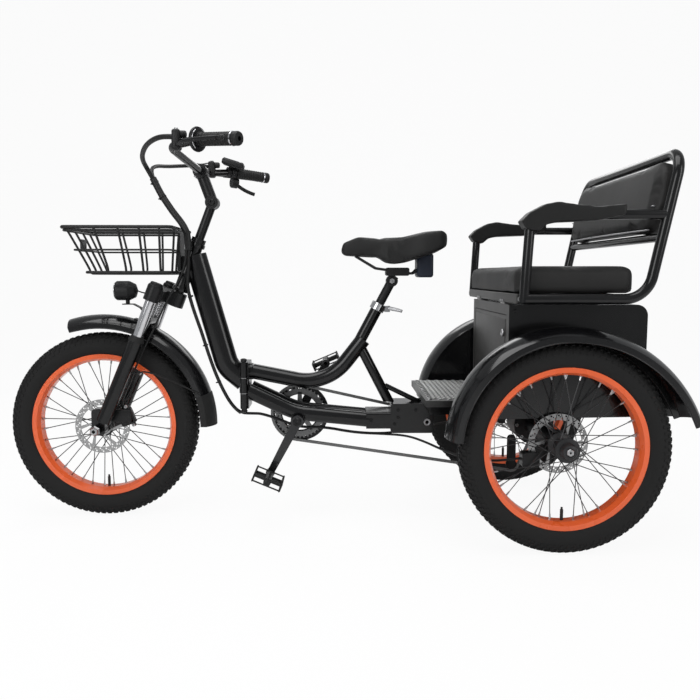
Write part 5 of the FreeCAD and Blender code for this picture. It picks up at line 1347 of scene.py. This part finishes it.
for key, y in (("key_low", -14), ("key_mid", -4), ("key_high", 6)):
    pod_parts.append((key, (-32, y, 9.2), (-24, y + 8, 11.4), 0.0007, grip_rubber))
for name, low, high, soft, finish in pod_parts:
    part = slab("display_" + name, Vector(low) / 1000, Vector(high) / 1000, soft, 4)
    alone(part)
    bpy.ops.object.transform_apply(location=True)
    part.rotation_euler = tilt.to_euler()
    part.location = pod
    settle(part, "steering", finish, "gloss_black" if finish == glass_black else "black_plastic")

# The hoses and wires leave the hoods ahead of the bars, meet in one wrapped bundle and pass the head.
# They run on under the main tube, cross the fold at the hinge, and split to the two rear brakes.
hose_black = coat("hose_black", (0.007, 0.007, 0.007), (0.017, 0.017, 0.017), (0.34, 0.22), (260.0, 3.0))


def route(name, points, radius, body):
    """A hose or wire that is held all the way, on one body."""
    piece = line_of(name, points, radius)
    return settle(piece, body, hose_black, "rubber")


left_loop = [(1000, 256, 1068), (1016, 250, 1070), (1046, 232, 1071), (1085, 184, 1064), (1114, 124, 1051),
             (1130, 66, 1040), (1131, 22, 1026), (1116.2, 12, 996.6)]
right_loop = [(1000, -256, 1069), (1016, -250, 1071), (1044, -230, 1069), (1080, -182, 1060),
              (1105, -118, 1049), (1122, -56, 1042), (1128, -10, 1025), (1116.2, 4, 996.6)]
cross_wire = [(1001, 246, 1078), (1018, 209, 1067), (1013, 150, 1053), (1006, 94, 1045), (1002, 38, 1042),
              (1001, -18, 1044), (1003, -74, 1051), (1007, -130, 1058), (1013, -190, 1067),
              (1001, -246, 1079)]
route("left_loop", [at(*p) for p in left_loop], 0.0068, "steering")
route("right_loop", [at(*p) for p in right_loop], 0.0056, "steering")
route("cross_wire", [at(*p) for p in cross_wire], 0.0020, "steering")
lamp_back = on_steering(146, 0, -57) + Vector((-0.0310, 0, 0))
settle(line_of("lamp_wire", [lamp_back, lamp_back + Vector((-0.013, 0.005, -0.005)),
                             lamp_back + Vector((-0.031, 0.010, -0.008)), on_steering(66.6, 12, -29)],
               0.0020), "steering", hose_black, "rubber")
bundle = [(1116.2, 8, 997), (1104, 11, 972), (1090, 14, 946), (1074, 18.5, 923), (1058, 23, 900),
          (1045, 26, 884), (1034, 28, 870), (1022, 34, 852), (1014, 38, 832), (1013, 38.5, 790)]
head_pass = line_of("bundle_high", [at(*p) for p in bundle], 0.0098, 6)
winding = []
for i in range(len(bundle) - 3):
    here, after = at(*bundle[i]), at(*bundle[i + 1])
    ahead = (after - here).normalized()
    side_way = ahead.cross(Vector((0, 1, 0))).normalized()
    other_way = ahead.cross(side_way)
    for step in range(12):
        turn = 2 * math.pi * (i * 12 + step) / 6
        winding.append(here + (after - here) * step / 12 +
                       (side_way * math.cos(turn) + other_way * math.sin(turn)) * 0.0100)
wrap = line_of("bundle_wrap", winding, 0.0012, 2)
for piece in (head_pass, wrap):
    settle(piece, None, hose_black, "rubber")
    tuple(at(1014, 38, 830))
    tuple(at(1052, 24, 893))
    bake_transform(piece)
trunk = [(1013, 38.5, 800), (1013.5, 38.5, 745), (1021, 31, 690), (1013, 18, 640), (998, 15, 590),
         (985.1, 14, 552), (961.1, 13.5, 470), (934, 14, 396), (896, 14.5, 324), (872, 14, 308)]
route("trunk", [at(*p) for p in trunk], 0.0052, "front_frame")
front_hose = [at(1017.3, 47.2, 836), at(1016.5, 48, 782), at(1025, 53, 732)]
front_hose += [on_steering(4, 57.5, 15), on_steering(13, 61, -22), on_steering(16, 65, -72),
               on_steering(20, 68, -128), on_steering(26, 70, -186), on_steering(29, 71, -244),
               on_steering(30, 71, -298), at(1200, 68, 376), at(1213, 56, 352), at(1214, 49, 329)]
hose = line_of("front_brake_hose", front_hose, 0.0027)
settle(hose, None, hose_black, "rubber")
tuple(at(1017, 48, 790))
tuple(on_steering(14, 62, -30))
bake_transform(hose)
for side, y in ((1, 16.0), (-1, 8.0)):
    rear_run = [(885, y, 318), (869, y, 307.5), (853, y, 306), (830, y, 305.6), (812, y, 305),
                (764, y, 290),
                (700, y, 263), (624, y, 264), (532, y, 246), (440, y, 242), (376, side * 38, 242),
                (332, side * 92, 237), (292, side * 158, 230), (248, side * 220, 224),
                (196, side * 256, 222),
                (150, side * 270, 226), (118, side * 274, 231), (97, side * 275, 233)]
    run = line_of("rear_hose_%d" % (side + 2), [at(*p) for p in rear_run], 0.0034)
    settle(run, None, hose_black, "rubber")
    tuple(at(880, y, 312))
    tuple(at(828, y, 305))
    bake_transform(run)


def tie(name, centre, along, radius, tail, body):
    """A cable tie: a thin flat ring round a bundle, with its lock."""
    band = [(radius, -0.0018), (radius + 0.0012, -0.0018), (radius + 0.0012, 0.0018), (radius, 0.0018)]
    settle(collar_on(name, centre, along, band, 24), body, plastic_black, "black_plastic")
    out = centre + Vector(tail).normalized() * (radius + 0.0014)
    lock = slab(name + "_lock", out - Vector((0.0022, 0.0022, 0.0016)),
                out + Vector((0.0022, 0.0022, 0.0016)), 0.0006, 2)
    settle(lock, body, plastic_black, "black_plastic")


tie("tie_frame_high", at(1012, 22, 656), (0.28, 0.2, 0.93), 0.0060, (0.9, 0.3, -0.3), "front_frame")
tie("tie_frame_mid", at(973, 13.8, 512), (0.28, 0, 0.96), 0.0058, (0.9, 0.3, -0.3), "front_frame")
tie("tie_frame_low", at(936.5, 14, 402), (0.34, 0, 0.94), 0.0058, (0.9, 0.3, -0.3), "front_frame")
tie("tie_lower", at(764, 12, 290), (0.9, 0, 0.4), 0.0088, (0.2, 0.3, -0.9), "chassis")
tie("tie_sleeve_high", at(1111, 8.5, 985), (0.46, -0.1, 0.88), 0.0102, (0.9, 0, -0.4), "steering")
tie("tie_sleeve_mid", at(1088, 15, 942), (0.54, -0.15, 0.82), 0.0104, (0.9, 0, -0.4), "steering")

# The basket is welded wire: a doubled top rim, a heavy lower hoop and rounded loops down each side.
# It hangs by a bracket from the head tube; the wires are powder coated satin black.
wire_black = coat("wire_black", (0.008, 0.008, 0.008), (0.017, 0.017, 0.017), (0.34, 0.2), (500.0, 2.0))


def level(share):
    """The basket's rear, front and half width at a share of its height, in millimetres."""
    rear = (1052 - 12 * share, 1284 + 58 * share)
    return (726 + 124 * share,) + rear + (112 + 23 * share,)


def hoop(name, share, radius, corner):
    """A closed wire round the basket at a share of its height."""
    z, rear, front, half = level(share)
    ring = [at(rear, -half, z), at(front, -half, z), at(front, half, z), at(rear, half, z)]
    return rim_line(name, ring, corner / 1000, radius, "front_frame", wire_black, "satin_black")


hoop("basket_rim", 1.0, 0.0050, 40)
hoop("basket_rim_low", 0.93, 0.0034, 40)
hoop("basket_foot", 0.0, 0.0042, 30)
hoop("basket_belt", 0.50, 0.0028, 35)
top_z, top_rear, top_front, top_half = level(1.0)
low_z, low_rear, low_front, low_half = level(0.0)
for number, (xa, xb) in enumerate(((1072, 1076), (1128, 1124), (1186, 1172), (1252, 1222))):
    line = [at(xa, -top_half, top_z), at(xb, -low_half - 3, low_z + 20), at(xb, -low_half, low_z + 2),
            at(xb, -low_half + 14, low_z), at(xb, low_half - 14, low_z), at(xb, low_half, low_z + 2),
            at(xb, low_half + 3, low_z + 20), at(xa, top_half, top_z)]
    settle(line_of("basket_side_wire_%d" % number, line, 0.0033, 3), "front_frame", wire_black,
           "satin_black")
for number, (ya, yb) in enumerate(((-92, -74), (-31, -25), (31, 25), (92, 74))):
    line = [at(top_rear, ya, top_z), at(low_rear, yb, low_z + 14), at(low_rear + 1, yb, low_z - 3),
            at(low_rear + 14, yb, low_z - 4), at(low_front - 14, yb, low_z - 4),
            at(low_front - 1, yb, low_z - 3),
            at(low_front + 3, yb, low_z + 14), at(top_front, ya, top_z)]
    piece = line_of("basket_long_wire_%d" % number, line, 0.0033, 3)
    settle(piece, "front_frame", wire_black, "satin_black", *(["basket"] if number == 0 else []))
reflector, shader, place = finish_of("reflector_smoke")
cells = place.node("ShaderNodeTexVoronoi", {"feature": "F1"}, {"Vector": place, "Scale": 300.0})
feed(shader, Base_Color=place.noise(40.0).mixed((0.020, 0.020, 0.022), (0.045, 0.045, 0.048)),
     Roughness=0.12 + cells * 0.3, Normal=cells.bump(0.0006, 0.6))
settle(slab("basket_reflector", at(1323, -19, 786), at(1331, 19, 822), 0.0035, 4), "front_frame", reflector,
       "black_plastic")
